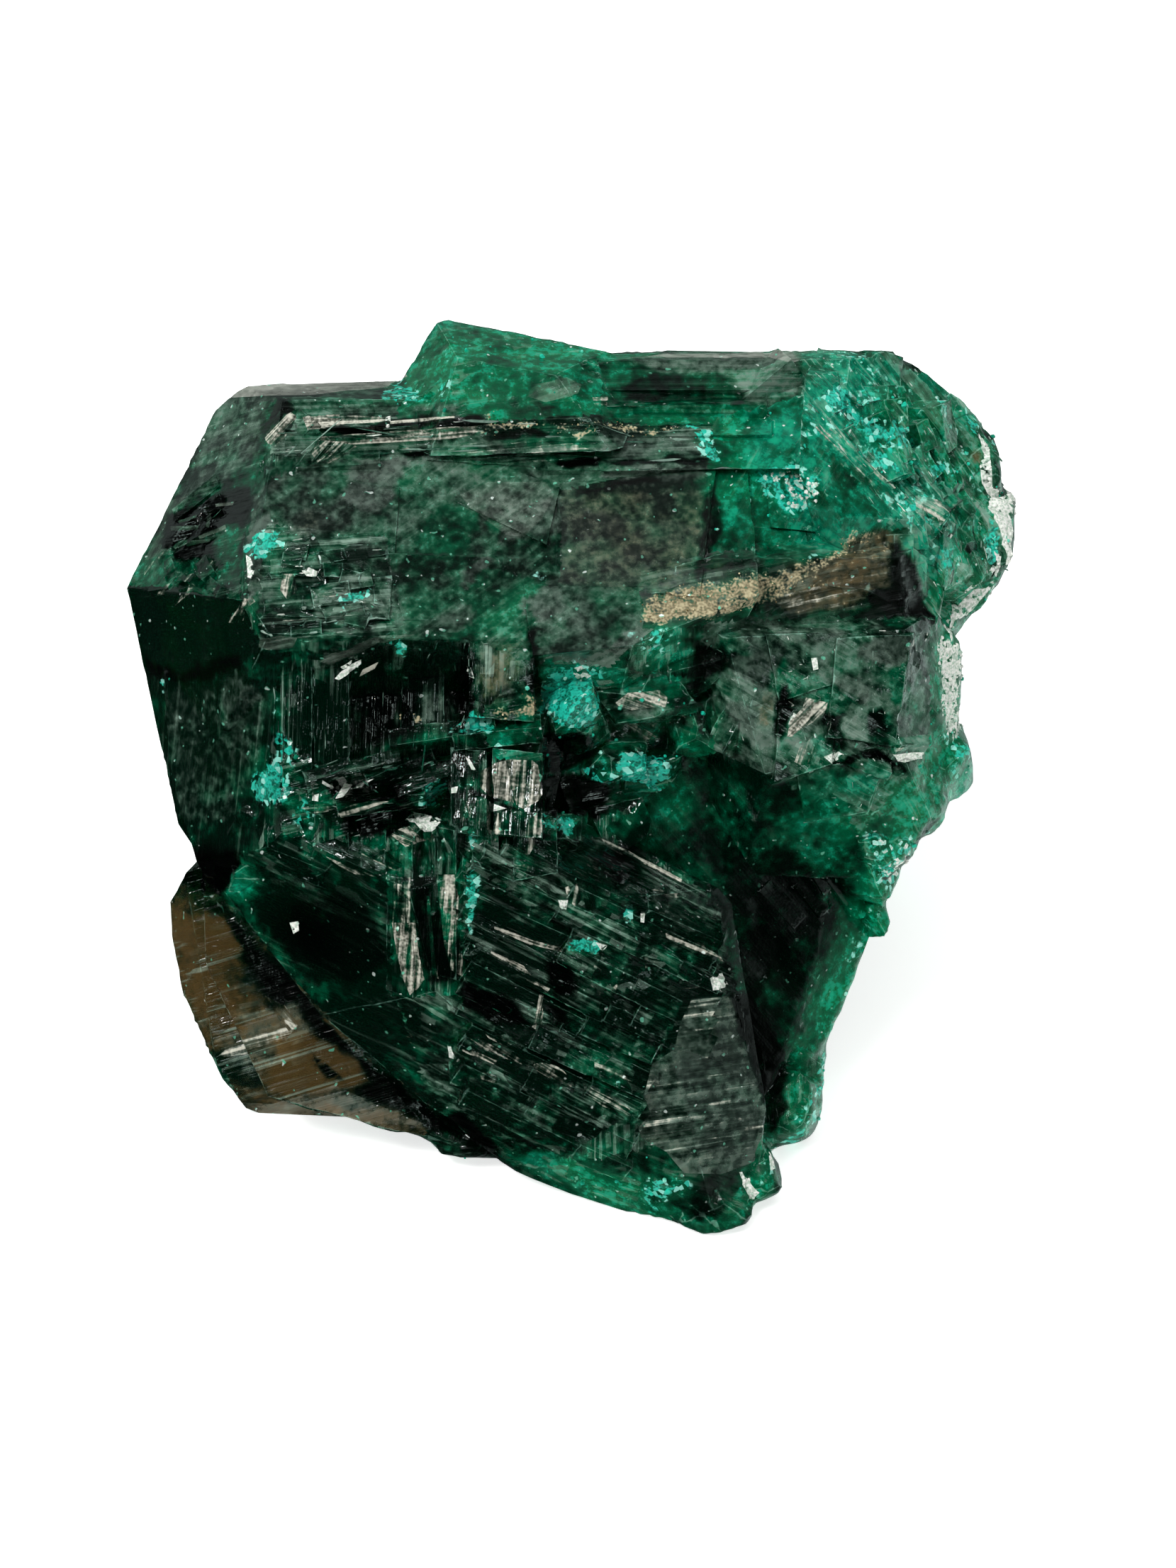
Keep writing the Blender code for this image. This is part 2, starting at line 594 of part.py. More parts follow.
def middle_shelves():
    """The heel that carries the upright prisms, and the low shelves that cross them."""
    heel_rim = [
        (-7.6, 9.2, 1.0),
        (-5.0, 8.2, 1.0),
        (-0.9, 9.0, 1.0),
        (-0.4, 11.0, 1.0),
        (0.1, 13.2, 1.0),
        (-6.8, 13.6, 1.0),
    ]
    heel_faces = [
        facet(-3.6, 11.0, 3.45, 0.02, 0.1),
        facet(-6.4, 11.0, 3.1, 0.45, 0.1),
        facet(-0.6, 11.0, 3.3, -0.9, 0.3),
    ]
    shelves = [
        bar((-2.9, 11.5, 3.95), (2.4, 0.42, 1.0), 8.0, 0.0, -30.0),
        bar((-1.7, 11.72, 4.24), (2.0, 0.36, 1.0), 6.0, 0.0, 20.0),
        bar((-4.9, 10.75, 3.75), (2.2, 0.32, 0.9), 14.0, 0.0, -26.0),
        bar((-3.9, 11.0, 3.85), (1.6, 0.3, 0.9), 22.0, 0.0, 24.0),
        bar((-4.3, 10.25, 3.85), (2.0, 0.36, 0.9), 6.0, 0.0, 24.0),
        bar((-3.1, 10.6, 3.9), (1.8, 0.34, 0.9), 24.0, 0.0, -20.0),
        bar((-4.9, 8.75, 3.1), (1.9, 0.4, 0.9), -24.0, 0.0, 10.0),
    ]
    return [crystal(heel_rim, heel_faces, -1.0, 0.1)] + shelves


def lower_left_crystal():
    """The brown-tinted crystal that looks out under the wedge's left rim."""
    rim = [
        (-9.29, 7.9, -1.0),
        (-9.27, 7.1, -1.2),
        (-9.0, 5.8, -1.5),
        (-7.45, 3.17, -2.6),
        (-7.0, 2.93, -2.5),
        (-3.4, 2.78, -2.35),
        (-2.4, 3.6, -2.0),
        (-5.0, 8.9, -0.2),
        (-8.6, 8.9, -0.6),
    ]
    faces = [
        facet(*BROWN_FACE),
        facet(-8.4, 5.84, -1.3, 1.1, 0.3),
        facet(-5.5, 4.05, -0.95, 0.1, 1.4),
        facet(-8.7, 8.2, -0.6, 0.6, -0.9),
    ]
    bump = lump((-2.35, 2.66, -1.45), (1.55, 1.2, 1.3), 3)
    return [crystal(rim, faces, -7.0, 0.2), bump]


def right_edge_lumps():
    """The knobbly lumps and the pale rind down the right-hand outline."""
    lumps = [
        ((8.42, 18.62, -1.3), (2.0, 1.6, 2.8)),
        ((8.62, 17.6, -1.1), (2.2, 2.7, 2.8)),
        ((8.72, 16.2, -1.0), (2.7, 2.3, 3.0)),
        ((8.55, 15.2, -1.0), (2.6, 2.0, 3.0)),
        ((7.9, 14.2, -0.2), (1.9, 1.4, 2.4)),
        ((7.95, 12.9, 0.2), (1.6, 2.6, 2.2)),
        ((8.0, 11.2, 0.0), (2.2, 2.1, 2.4)),
        ((7.55, 10.1, 0.3), (1.8, 1.6, 2.2)),
        ((6.95, 9.2, 0.4), (1.9, 1.5, 2.2)),
        ((6.6, 8.5, 0.0), (1.8, 1.5, 2.2)),
        ((5.0, 4.2, -2.0), (1.6, 1.5, 2.2)),
        ((4.85, 3.2, -1.9), (1.6, 1.7, 2.2)),
        ((4.05, 1.75, -0.9), (1.4, 1.6, 1.7)),
        ((3.15, 0.95, -0.25), (1.9, 1.7, 1.1)),
    ]
    return [lump(middle, size, 40 + index) for index, (middle, size) in enumerate(lumps)]


def crust_lumps():
    """The crust of small blue-green lumps in the hollows of the middle."""
    lumps = [
        ((0.0, 12.4, 3.6), (1.5, 1.7, 1.8)),
        ((0.3, 11.7, 3.2), (1.1, 1.0, 1.5)),
        ((-2.25, 11.86, 3.95), (0.9, 0.8, 1.0)),
        ((0.9, 11.1, 2.8), (1.5, 1.1, 1.4)),
        ((1.7, 10.9, 2.3), (1.5, 1.1, 1.4)),
        ((1.6, 12.5, 3.1), (2.4, 1.3, 1.4)),
        ((2.6, 13.2, 3.0), (1.4, 1.7, 1.4)),
        ((2.7, 11.9, 2.6), (1.2, 1.5, 1.2)),
        ((-6.6, 10.6, 2.9), (1.3, 1.6, 1.3)),
        ((-6.35, 12.0, 3.3), (0.8, 1.7, 1.0)),
        ((-0.3, 9.5, 3.2), (1.2, 0.9, 1.2)),
        ((1.0, 9.6, 2.0), (1.6, 1.3, 1.4)),
        ((-7.1, 8.7, 1.8), (1.3, 1.3, 1.4)),
        ((4.75, 16.9, 1.9), (1.7, 1.4, 1.4)),
        ((6.9, 17.9, 1.1), (1.3, 1.1, 1.2)),
        ((5.8, 19.2, 0.6), (1.2, 0.8, 1.2)),
    ]
    return [lump(middle, size, 70 + index) for index, (middle, size) in enumerate(lumps)]


def rear_crystals():
    """Blunt prisms on the side that the viewer doesn't see."""
    prisms = [
        # foot in the world's frame, radius, length, lean back and to the side, spin, chips
        ((-4.1, 11.9, -1.5), 3.3, 10.6, (-10.0, -6.0), 12.0, (51, 5, 0.8)),
        ((4.2, 12.3, -1.5), 3.2, 11.4, (-9.0, 5.0), 34.0, (52, 6, 0.8)),
        ((0.1, 12.9, -1.5), 2.7, 8.4, (-16.0, 2.0), 50.0, (53, 4, 0.6)),
        ((5.9, 12.3, -1.5), 1.9, 8.0, (-2.0, 4.0), 20.0, (54, 4, 0.5)),
    ]
    return [standing_prism(*prism) for prism in prisms]


def link_mesh(name, body):
    """An object made from a body's mesh, in the scene."""
    bmesh.ops.recalc_face_normals(body, faces=body.faces[:])
    mesh = bpy.data.meshes.new(name)
    body.to_mesh(mesh)
    body.free()
    made = bpy.data.objects.new(name, mesh)
    bpy.context.scene.collection.objects.link(made)
    return made


def table_block():
    """The space under the table top, which cuts the stone flat where it rests."""
    body = bmesh.new()
    bmesh.ops.create_cube(body, size=BLOCK_SIZE)
    shift = Vector((0.0, 0.0, -BLOCK_SIZE / 2.0))
    bmesh.ops.translate(body, vec=shift, verts=body.verts[:])
    to_view = view_turn().inverted().to_4x4()
    bmesh.ops.transform(body, matrix=to_view, verts=body.verts[:])
    return link_mesh("table_block", body)


def joined_mesh(bodies):
    """One mesh from all the crystals, with the table's block cut away."""
    first = link_mesh("joining", bodies[0])
    others = bpy.data.collections.new("others")
    bpy.context.scene.collection.children.link(others)
    parts = [link_mesh("crystal_part", body) for body in bodies[1:]]
    for part in parts:
        bpy.context.scene.collection.objects.unlink(part)
        others.objects.link(part)
    join = first.modifiers.new("join", "BOOLEAN")
    join.operation = "UNION"
    join.operand_type = "COLLECTION"
    join.collection = others
    table = table_block()
    rest = first.modifiers.new("rest", "BOOLEAN")
    rest.operation = "DIFFERENCE"
    rest.object = table
    bpy.context.view_layer.update()
    graph = bpy.context.evaluated_depsgraph_get()
    mesh = bpy.data.meshes.new_from_object(first.evaluated_get(graph))
    for helper in [first, table] + parts:
        bpy.data.objects.remove(helper)
    bpy.data.collections.remove(others)
    return mesh


def keep_largest_piece(body):
    """Delete the crumbs and sealed pockets that the joining leaves beside the stone itself."""
    unseen = set(body.verts)
    pieces = []
    while unseen:
        piece = set()
        edge_of_search = [unseen.pop()]
        while edge_of_search:
            corner = edge_of_search.pop()
            piece.add(corner)
            for edge in corner.link_edges:
                other = edge.other_vert(corner)
                if other in unseen:
                    unseen.remove(other)
                    edge_of_search.append(other)
        pieces.append(piece)
    pieces.sort(key=len)
    crumbs = [corner for piece in pieces[:-1] for corner in piece]
    bmesh.ops.delete(body, geom=crumbs, context="VERTS")


def settle(mesh):
    """Turn the mesh into the world in metres, and set its origin under its box's middle."""
    body = bmesh.new()
    body.from_mesh(mesh)
    bmesh.ops.transform(body, matrix=view_turn().to_4x4(), verts=body.verts[:])
    bmesh.ops.remove_doubles(body, verts=body.verts[:], dist=MERGE_DISTANCE)
    bmesh.ops.dissolve_degenerate(body, edges=body.edges[:], dist=MERGE_DISTANCE)
    bmesh.ops.triangulate(body, faces=body.faces[:])
    loose = [edge for edge in body.edges if not edge.link_faces]
    bmesh.ops.delete(body, geom=loose, context="EDGES")
    keep_largest_piece(body)
    lowest = [min(corner.co[axis] for corner in body.verts) for axis in range(3)]
    highest = [max(corner.co[axis] for corner in body.verts) for axis in range(3)]
    under = Vector(((lowest[0] + highest[0]) / 2.0, (lowest[1] + highest[1]) / 2.0, lowest[2]))
    bmesh.ops.translate(body, vec=-under, verts=body.verts[:])
    bmesh.ops.scale(body, vec=(MM, MM, MM), verts=body.verts[:])
    body.to_mesh(mesh)
    body.free()
    print("origin, from the laid out frame, mm:", [round(value, 3) for value in under])
    print("size, mm:", [round(high - low, 2) for low, high in zip(lowest, highest)])


def dioptase_material():
    """Deep green, glassy dioptase."""
    material = bpy.data.materials.new("dioptase")
    material.use_nodes = True
    shader = material.node_tree.nodes["Principled BSDF"]
    shader.inputs["Base Color"].default_value = DIOPTASE_GREEN
    shader.inputs["Roughness"].default_value = 0.15
    shader.inputs["Metallic"].default_value = 0.0
    shader.inputs["IOR"].default_value = 1.66
    return material


def main():
    for old in list(bpy.data.objects):
        bpy.data.objects.remove(old)
    bodies = core() + upper_crystal() + top_plates() + top_blocks() + top_bands()
    bodies += left_column() + left_steps() + summit_lump() + upper_right_crystal()
    bodies += emerald_face() + rough_slope() + front_right_block() + dark_flank()
    bodies += wedge() + wedge_ledges() + upright_columns() + middle_shelves()
    bodies += lower_left_crystal() + right_edge_lumps() + crust_lumps() + rear_crystals()
    mesh = joined_mesh(bodies)
    mesh.name = "dioptase_cluster"
    settle(mesh)
    mesh.materials.clear()
    mesh.materials.append(dioptase_material())
    stone = bpy.data.objects.new("dioptase_cluster", mesh)
    bpy.context.scene.collection.objects.link(stone)


main()
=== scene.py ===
# Dioptase: a chunk of intergrown emerald-green crystals on a plain pale table.
# Places and sizes are in millimetres in the viewer's frame: right, up and toward the viewer.
import math

import bmesh
import bpy
import numpy as np
from mathutils import Matrix, Vector


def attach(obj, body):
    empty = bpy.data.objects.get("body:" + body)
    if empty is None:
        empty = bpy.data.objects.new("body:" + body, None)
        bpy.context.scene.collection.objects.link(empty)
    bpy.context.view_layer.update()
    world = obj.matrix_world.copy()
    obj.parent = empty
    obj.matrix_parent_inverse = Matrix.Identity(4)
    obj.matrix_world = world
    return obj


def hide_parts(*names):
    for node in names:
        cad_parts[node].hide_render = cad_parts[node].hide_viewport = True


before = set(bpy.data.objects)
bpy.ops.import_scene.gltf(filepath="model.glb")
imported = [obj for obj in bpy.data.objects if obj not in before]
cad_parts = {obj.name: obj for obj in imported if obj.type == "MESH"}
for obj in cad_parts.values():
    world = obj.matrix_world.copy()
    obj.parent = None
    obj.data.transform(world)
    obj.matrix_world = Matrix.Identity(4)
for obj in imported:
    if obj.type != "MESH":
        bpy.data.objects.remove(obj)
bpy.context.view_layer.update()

# the viewer looks down at this many degrees, at a spot aim millimetres right and up, from a distance;
# origin moves the world's places before they are turned
viewer = {
    "elevation": 50.0, "origin": np.array([-0.003, 9.228, 0.0]), "aim": (0.328, 10.544), "distance": 300.0,
}
# the photograph: its height, the pixel at the viewer's zero, and millimetres a pixel on the stone
picture = {"height": 2212, "middle": 809, "foot": 1765, "scale": 0.016}
slant = math.radians(90.0 - viewer["elevation"])
viewTurn = np.array(
    [[1.0, 0.0, 0.0], [0.0, math.cos(slant), -math.sin(slant)], [0.0, math.sin(slant), math.cos(slant)]]
)


# the world's metres as the viewer's millimetres: a thousand times, shifted by the origin, then turned
def toViewer(points):
    return (points * 1000.0 + viewer["origin"]) @ viewTurn


# the viewer's millimetres as the world's metres: turned back, then shifted back, over a thousand
def toWorld(points):
    return (points @ viewTurn.T - viewer["origin"]) * 0.001


# the picture's pixels as millimetres: right of its middle and up from its foot, times the scale
def px(*corners):
    scale = picture["scale"]
    return np.array([((x - picture["middle"]) * scale, (picture["foot"] - y) * scale) for x, y in corners])


# the rows of a text, each a name, its numbers, and its points in pixels, two whole numbers with a comma
def readRows(text):
    rows = []
    for word in text.split():
        if word[0].isalpha():
            rows.append([word])
        elif "," in word:
            rows[-1].append(tuple(int(part) for part in word.split(",")))
        else:
            rows[-1].append(float(word))
    return rows


# three axes: along the heading, across it, and toward the viewer
def turnedAxes(heading):
    turn = math.radians(heading)
    right, up = math.cos(turn), math.sin(turn)
    return np.array([[right, up, 0.0], [-up, right, 0.0], [0.0, 0.0, 1.0]])


# three random values for each cell, from a table entered by a sum of its three whole numbers' multiples
def tableLookup(cells, seed):
    table = np.random.default_rng(seed).random((4096, 3))
    index = (cells[:, 0] * 73 + cells[:, 1] * 1069 + cells[:, 2] * 2903) % 4096
    return table[index]


# smooth random values from -1 to 1: eight corners of a grid's cell blended by a cubic ease
def smoothNoise(points, cell, seed):
    scaled = points / cell
    low = np.floor(scaled).astype(np.int64)
    part = scaled - low
    part = part * part * (3.0 - 2.0 * part)
    total = np.zeros(len(points))
    for corner in range(8):
        step = np.array([corner & 1, corner >> 1 & 1, corner >> 2 & 1])
        weight = np.prod(np.where(step, part, 1.0 - part), axis=1)
        total += weight * tableLookup(low + step, seed)[:, 0]
    return total * 2.0 - 1.0


# smooth noise summed over halving cells, each half as strong
def layeredNoise(points, cell, seed, layers=3):
    total = np.zeros(len(points))
    for layer in range(layers):
        total += smoothNoise(points, cell / 2.0**layer, seed + layer) / 2.0**layer
    return total / (2.0 - 2.0 ** (1 - layers))


# the flat-sided cells around jittered grid points, long along the heading:
# three random values for each point's cell, and its offset from the cell's middle
def blockCells(points, axes, size, seed):
    scaled = (points @ axes.T) / size
    low = np.floor(scaled).astype(np.int64)
    nearest = np.full(len(points), 1e9)
    cells = np.zeros_like(low)
    offset = np.zeros_like(scaled)
    for corner in range(27):
        step = np.array([corner % 3 - 1, corner // 3 % 3 - 1, corner // 9 - 1])
        cell = low + step
        middle = cell + 0.5 + (tableLookup(cell, seed) - 0.5) * 0.9
        away = scaled - middle
        distance = (away**2).sum(axis=1)
        closer = distance < nearest
        nearest = np.where(closer, distance, nearest)
        cells[closer] = cell[closer]
        offset[closer] = away[closer]
    return tableLookup(cells, seed + 7), offset * size


# which points lie inside an outline, by counting the edges crossed
def inside(places, outline):
    x, y = places[:, 0], places[:, 1]
    within = np.zeros(len(places), bool)
    for (x0, y0), (x1, y1) in zip(outline, np.roll(outline, -1, axis=0)):
        if y0 == y1:
            continue
        crosses = (y0 > y) != (y1 > y)
        within ^= crosses & (x < (x1 - x0) * (y - y0) / (y1 - y0) + x0)
    return within


# how deep each point lies inside an outline: its distance to the nearest side, negative outside
def outlineDepth(places, outline):
    nearest = np.full(len(places), 1e9)
    for start, end in zip(outline, np.roll(outline, -1, axis=0)):
        side = end - start
        share = np.clip(((places - start) @ side) / max(side @ side, 1e-12), 0.0, 1.0)
        nearest = np.minimum(nearest, np.hypot(*(places - start - share[:, None] * side).T))
    return np.where(inside(places, outline), nearest, -nearest)


# soft-edged ellipses, from rows of name, strength, turn in degrees, middle and half sizes in pixels:
# full within 0.3 of the half sizes, none beyond 1.7 of them, eased between
def blobs(places, rows):
    total = np.zeros(len(places))
    for _, strength, turn, middle, half in rows:
        angle = math.radians(turn)
        right, up = px(middle)[0]
        wide, high = (size * picture["scale"] for size in half)
        along = (places[:, 0] - right) * math.cos(angle) + (places[:, 1] - up) * math.sin(angle)
        across = (places[:, 1] - up) * math.cos(angle) - (places[:, 0] - right) * math.sin(angle)
        distance = np.sqrt((along / wide) ** 2 + (across / high) ** 2)
        total = np.maximum(total, strength * np.clip((1.7 - distance) / 1.4, 0.0, 1.0))
    return total * total * (3.0 - 2.0 * total)


# a mesh of the corners and faces given, in one material, linked to the scene
def makeObject(name, vertices, faces, material):
    mesh = bpy.data.meshes.new(name)
    mesh.from_pydata(vertices, [], faces)
    mesh.materials.append(material)
    made = bpy.data.objects.new(name, mesh)
    bpy.context.scene.collection.objects.link(made)
    return made


# sockets, by name or as i and a number, each get a value or a link from another node
def plug(tree, node, sockets):
    for key, value in sockets.items():
        numbered = key[0] == "i" and key[1:].isdigit()
        socket = node.inputs[int(key[1:]) if numbered else key.replace("_", " ")]
        if isinstance(value, bpy.types.NodeSocket):
            tree.links.new(value, socket)
        else:
            socket.default_value = value


# adds a node with its settings, its sockets plugged
def addNode(tree, kind, settings=None, **sockets):
    node = tree.nodes.new(kind)
    for key, value in (settings or {}).items():
        setattr(node, key, value)
    plug(tree, node, sockets)
    return node


# one step of reckoning on up to three numbers or sockets
def addMath(tree, operation, *values):
    sockets = {f"i{number}": value for number, value in enumerate(values)}
    return addNode(tree, "ShaderNodeMath", {"operation": operation}, **sockets).outputs[0]


# a written screen colour as linear light: each part above 0.04045 is ((part + 0.055) / 1.055) ** 2.4
def linearColor(text):
    parts = [int(text[i : i + 2], 16) / 255.0 for i in (1, 3, 5)]
    return [p / 12.92 if p <= 0.04045 else ((p + 0.055) / 1.055) ** 2.4 for p in parts] + [1.0]


# sizes in millimetres, angles in degrees, the sharp bend in radians, and the least cosines to the
# viewer of the faces that are cut and of those that count as the front
stone = {
    "frontEdge": 0.2, "backEdge": 0.5, "halvings": 8, "weld": 0.0001, "flatAngle": 0.2, "crispest": 0.1,
    "cutCosine": 0.05, "frontCosine": 0.02, "smoothAngle": 20.0, "sharpBend": 0.3,
    "slowCell": 1.1, "fineCell": 0.45, "wobbleCell": 0.7, "lumpCell": 0.5, "stripeCell": (1.6, 0.2, 0.3),
    "zoneWarp": 0.10, "blockWarp": 0.12, "outlineWarp": 0.15, "relief": 0.6, "lowRelief": 0.8,
}
# the crumbly rims: how often each corner moves to the middle of its neighbours, what share of the way,
# and how far it swells
wear = {"rounds": 14, "pull": 0.6, "swell": 0.10}
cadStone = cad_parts["dioptase_cluster"]


# a face's corners as the viewer sees them: right and up in millimetres
def seenCorners(face):
    right, up = (Vector(viewTurn[:, side].tolist()) * 1000.0 for side in (0, 1))
    offset = viewer["origin"] @ viewTurn
    return [(corner.co.dot(right) + offset[0], corner.co.dot(up) + offset[1]) for corner in face.verts]


# keeps a list of the faces seen by the viewer, and cuts those under each side of an outline
# by the plane that holds that side and the line of sight
class OutlineCutter:
    def __init__(self, form, toward):
        self.form = form
        self.boxes = {}
        self.note([face for face in form.faces if face.normal.dot(toward) > stone["cutCosine"]])

    def note(self, faces):
        for face in faces:
            places = seenCorners(face)
            across, high = zip(*places)
            self.boxes[face] = (min(across), min(high), max(across), max(high), places)

    def cut(self, outline):
        (left, low), (right, top) = outline.min(axis=0).tolist(), outline.max(axis=0).tolist()
        near = {
            face for face, box in self.boxes.items()
            if box[0] < right and box[2] > left and box[1] < top and box[3] > low
        }
        for (x, y), (endX, endY) in zip(outline.tolist(), np.roll(outline, -1, axis=0).tolist()):
            dx, dy = endX - x, endY - y
            crossed = []
            for face in near:
                shares = [(u - x) * dx + (v - y) * dy for u, v in self.boxes[face][4]]
                sides = [(v - y) * dx - (u - x) * dy for u, v in self.boxes[face][4]]
                beside = max(shares) > 0.0 and min(shares) < dx * dx + dy * dy
                if beside and max(sides) > 0.0 and min(sides) < 0.0:
                    crossed.append(face)
            parts = {part for face in crossed for part in (*face.verts, *face.edges)}
            made = bmesh.ops.bisect_plane(
                self.form, geom=crossed + list(parts), dist=stone["weld"] * 0.001,
                plane_co=toWorld(np.array([x, y, 0.0])).tolist(),
                plane_no=(viewTurn @ np.array([-dy, dx, 0.0])).tolist(),
            )
            for face in crossed:
                self.boxes.pop(face)
            halves = [part for part in made["geom"] if isinstance(part, bmesh.types.BMFace)]
            self.note(halves)
            near.difference_update(crossed)
            near.update(halves)


# the CAD's flat faces cut along the crisp outlines, then into small triangles: each edge over its limit
# is halved until none is left; with 1 for each corner on a sharp outer edge, and on a sharp inner one
def refinedStone():
    form = bmesh.new()
    form.from_mesh(cadStone.data)
    bmesh.ops.remove_doubles(form, verts=form.verts, dist=stone["weld"] * 0.001)
    flat = math.radians(stone["flatAngle"])
    bmesh.ops.dissolve_limit(form, angle_limit=flat, verts=form.verts, edges=form.edges)
    bmesh.ops.triangulate(form, faces=form.faces, quad_method="BEAUTY", ngon_method="BEAUTY")
    toward = Vector(viewTurn[:, 2].tolist())
    cutter = OutlineCutter(form, toward)
    for kind, _, _, *outline in faceRows:
        if kinds[kind][0] < stone["crispest"]:
            cutter.cut(px(*outline))
    loose = [face for face in form.faces if len(face.verts) > 3]
    bmesh.ops.triangulate(form, faces=loose, quad_method="BEAUTY", ngon_method="BEAUTY")
    for _ in range(stone["halvings"]):
        long = []
        for edge in form.edges:
            seen = max((face.normal.dot(toward) for face in edge.link_faces), default=0.0)
            limit = stone["frontEdge"] if seen > stone["frontCosine"] else stone["backEdge"]
            if edge.calc_length() > limit * 0.001:
                long.append(edge)
        if not long:
            break
        bmesh.ops.subdivide_edges(form, edges=long, cuts=1, use_grid_fill=False)
        loose = [face for face in form.faces if len(face.verts) > 3]
        bmesh.ops.triangulate(form, faces=loose, quad_method="SHORT_EDGE", ngon_method="BEAUTY")
    ridge = np.zeros(len(form.verts))
    crease = np.zeros(len(form.verts))
    form.verts.index_update()
    for edge in form.edges:
        bend = edge.calc_face_angle_signed(0.0)
        if abs(bend) > stone["sharpBend"]:
            ends = [corner.index for corner in edge.verts]
            (ridge if bend > 0.0 else crease)[ends] = 1.0
    mesh = bpy.data.meshes.new("crystal_chunk")
    form.to_mesh(mesh)
    form.free()
    return mesh, ridge, crease


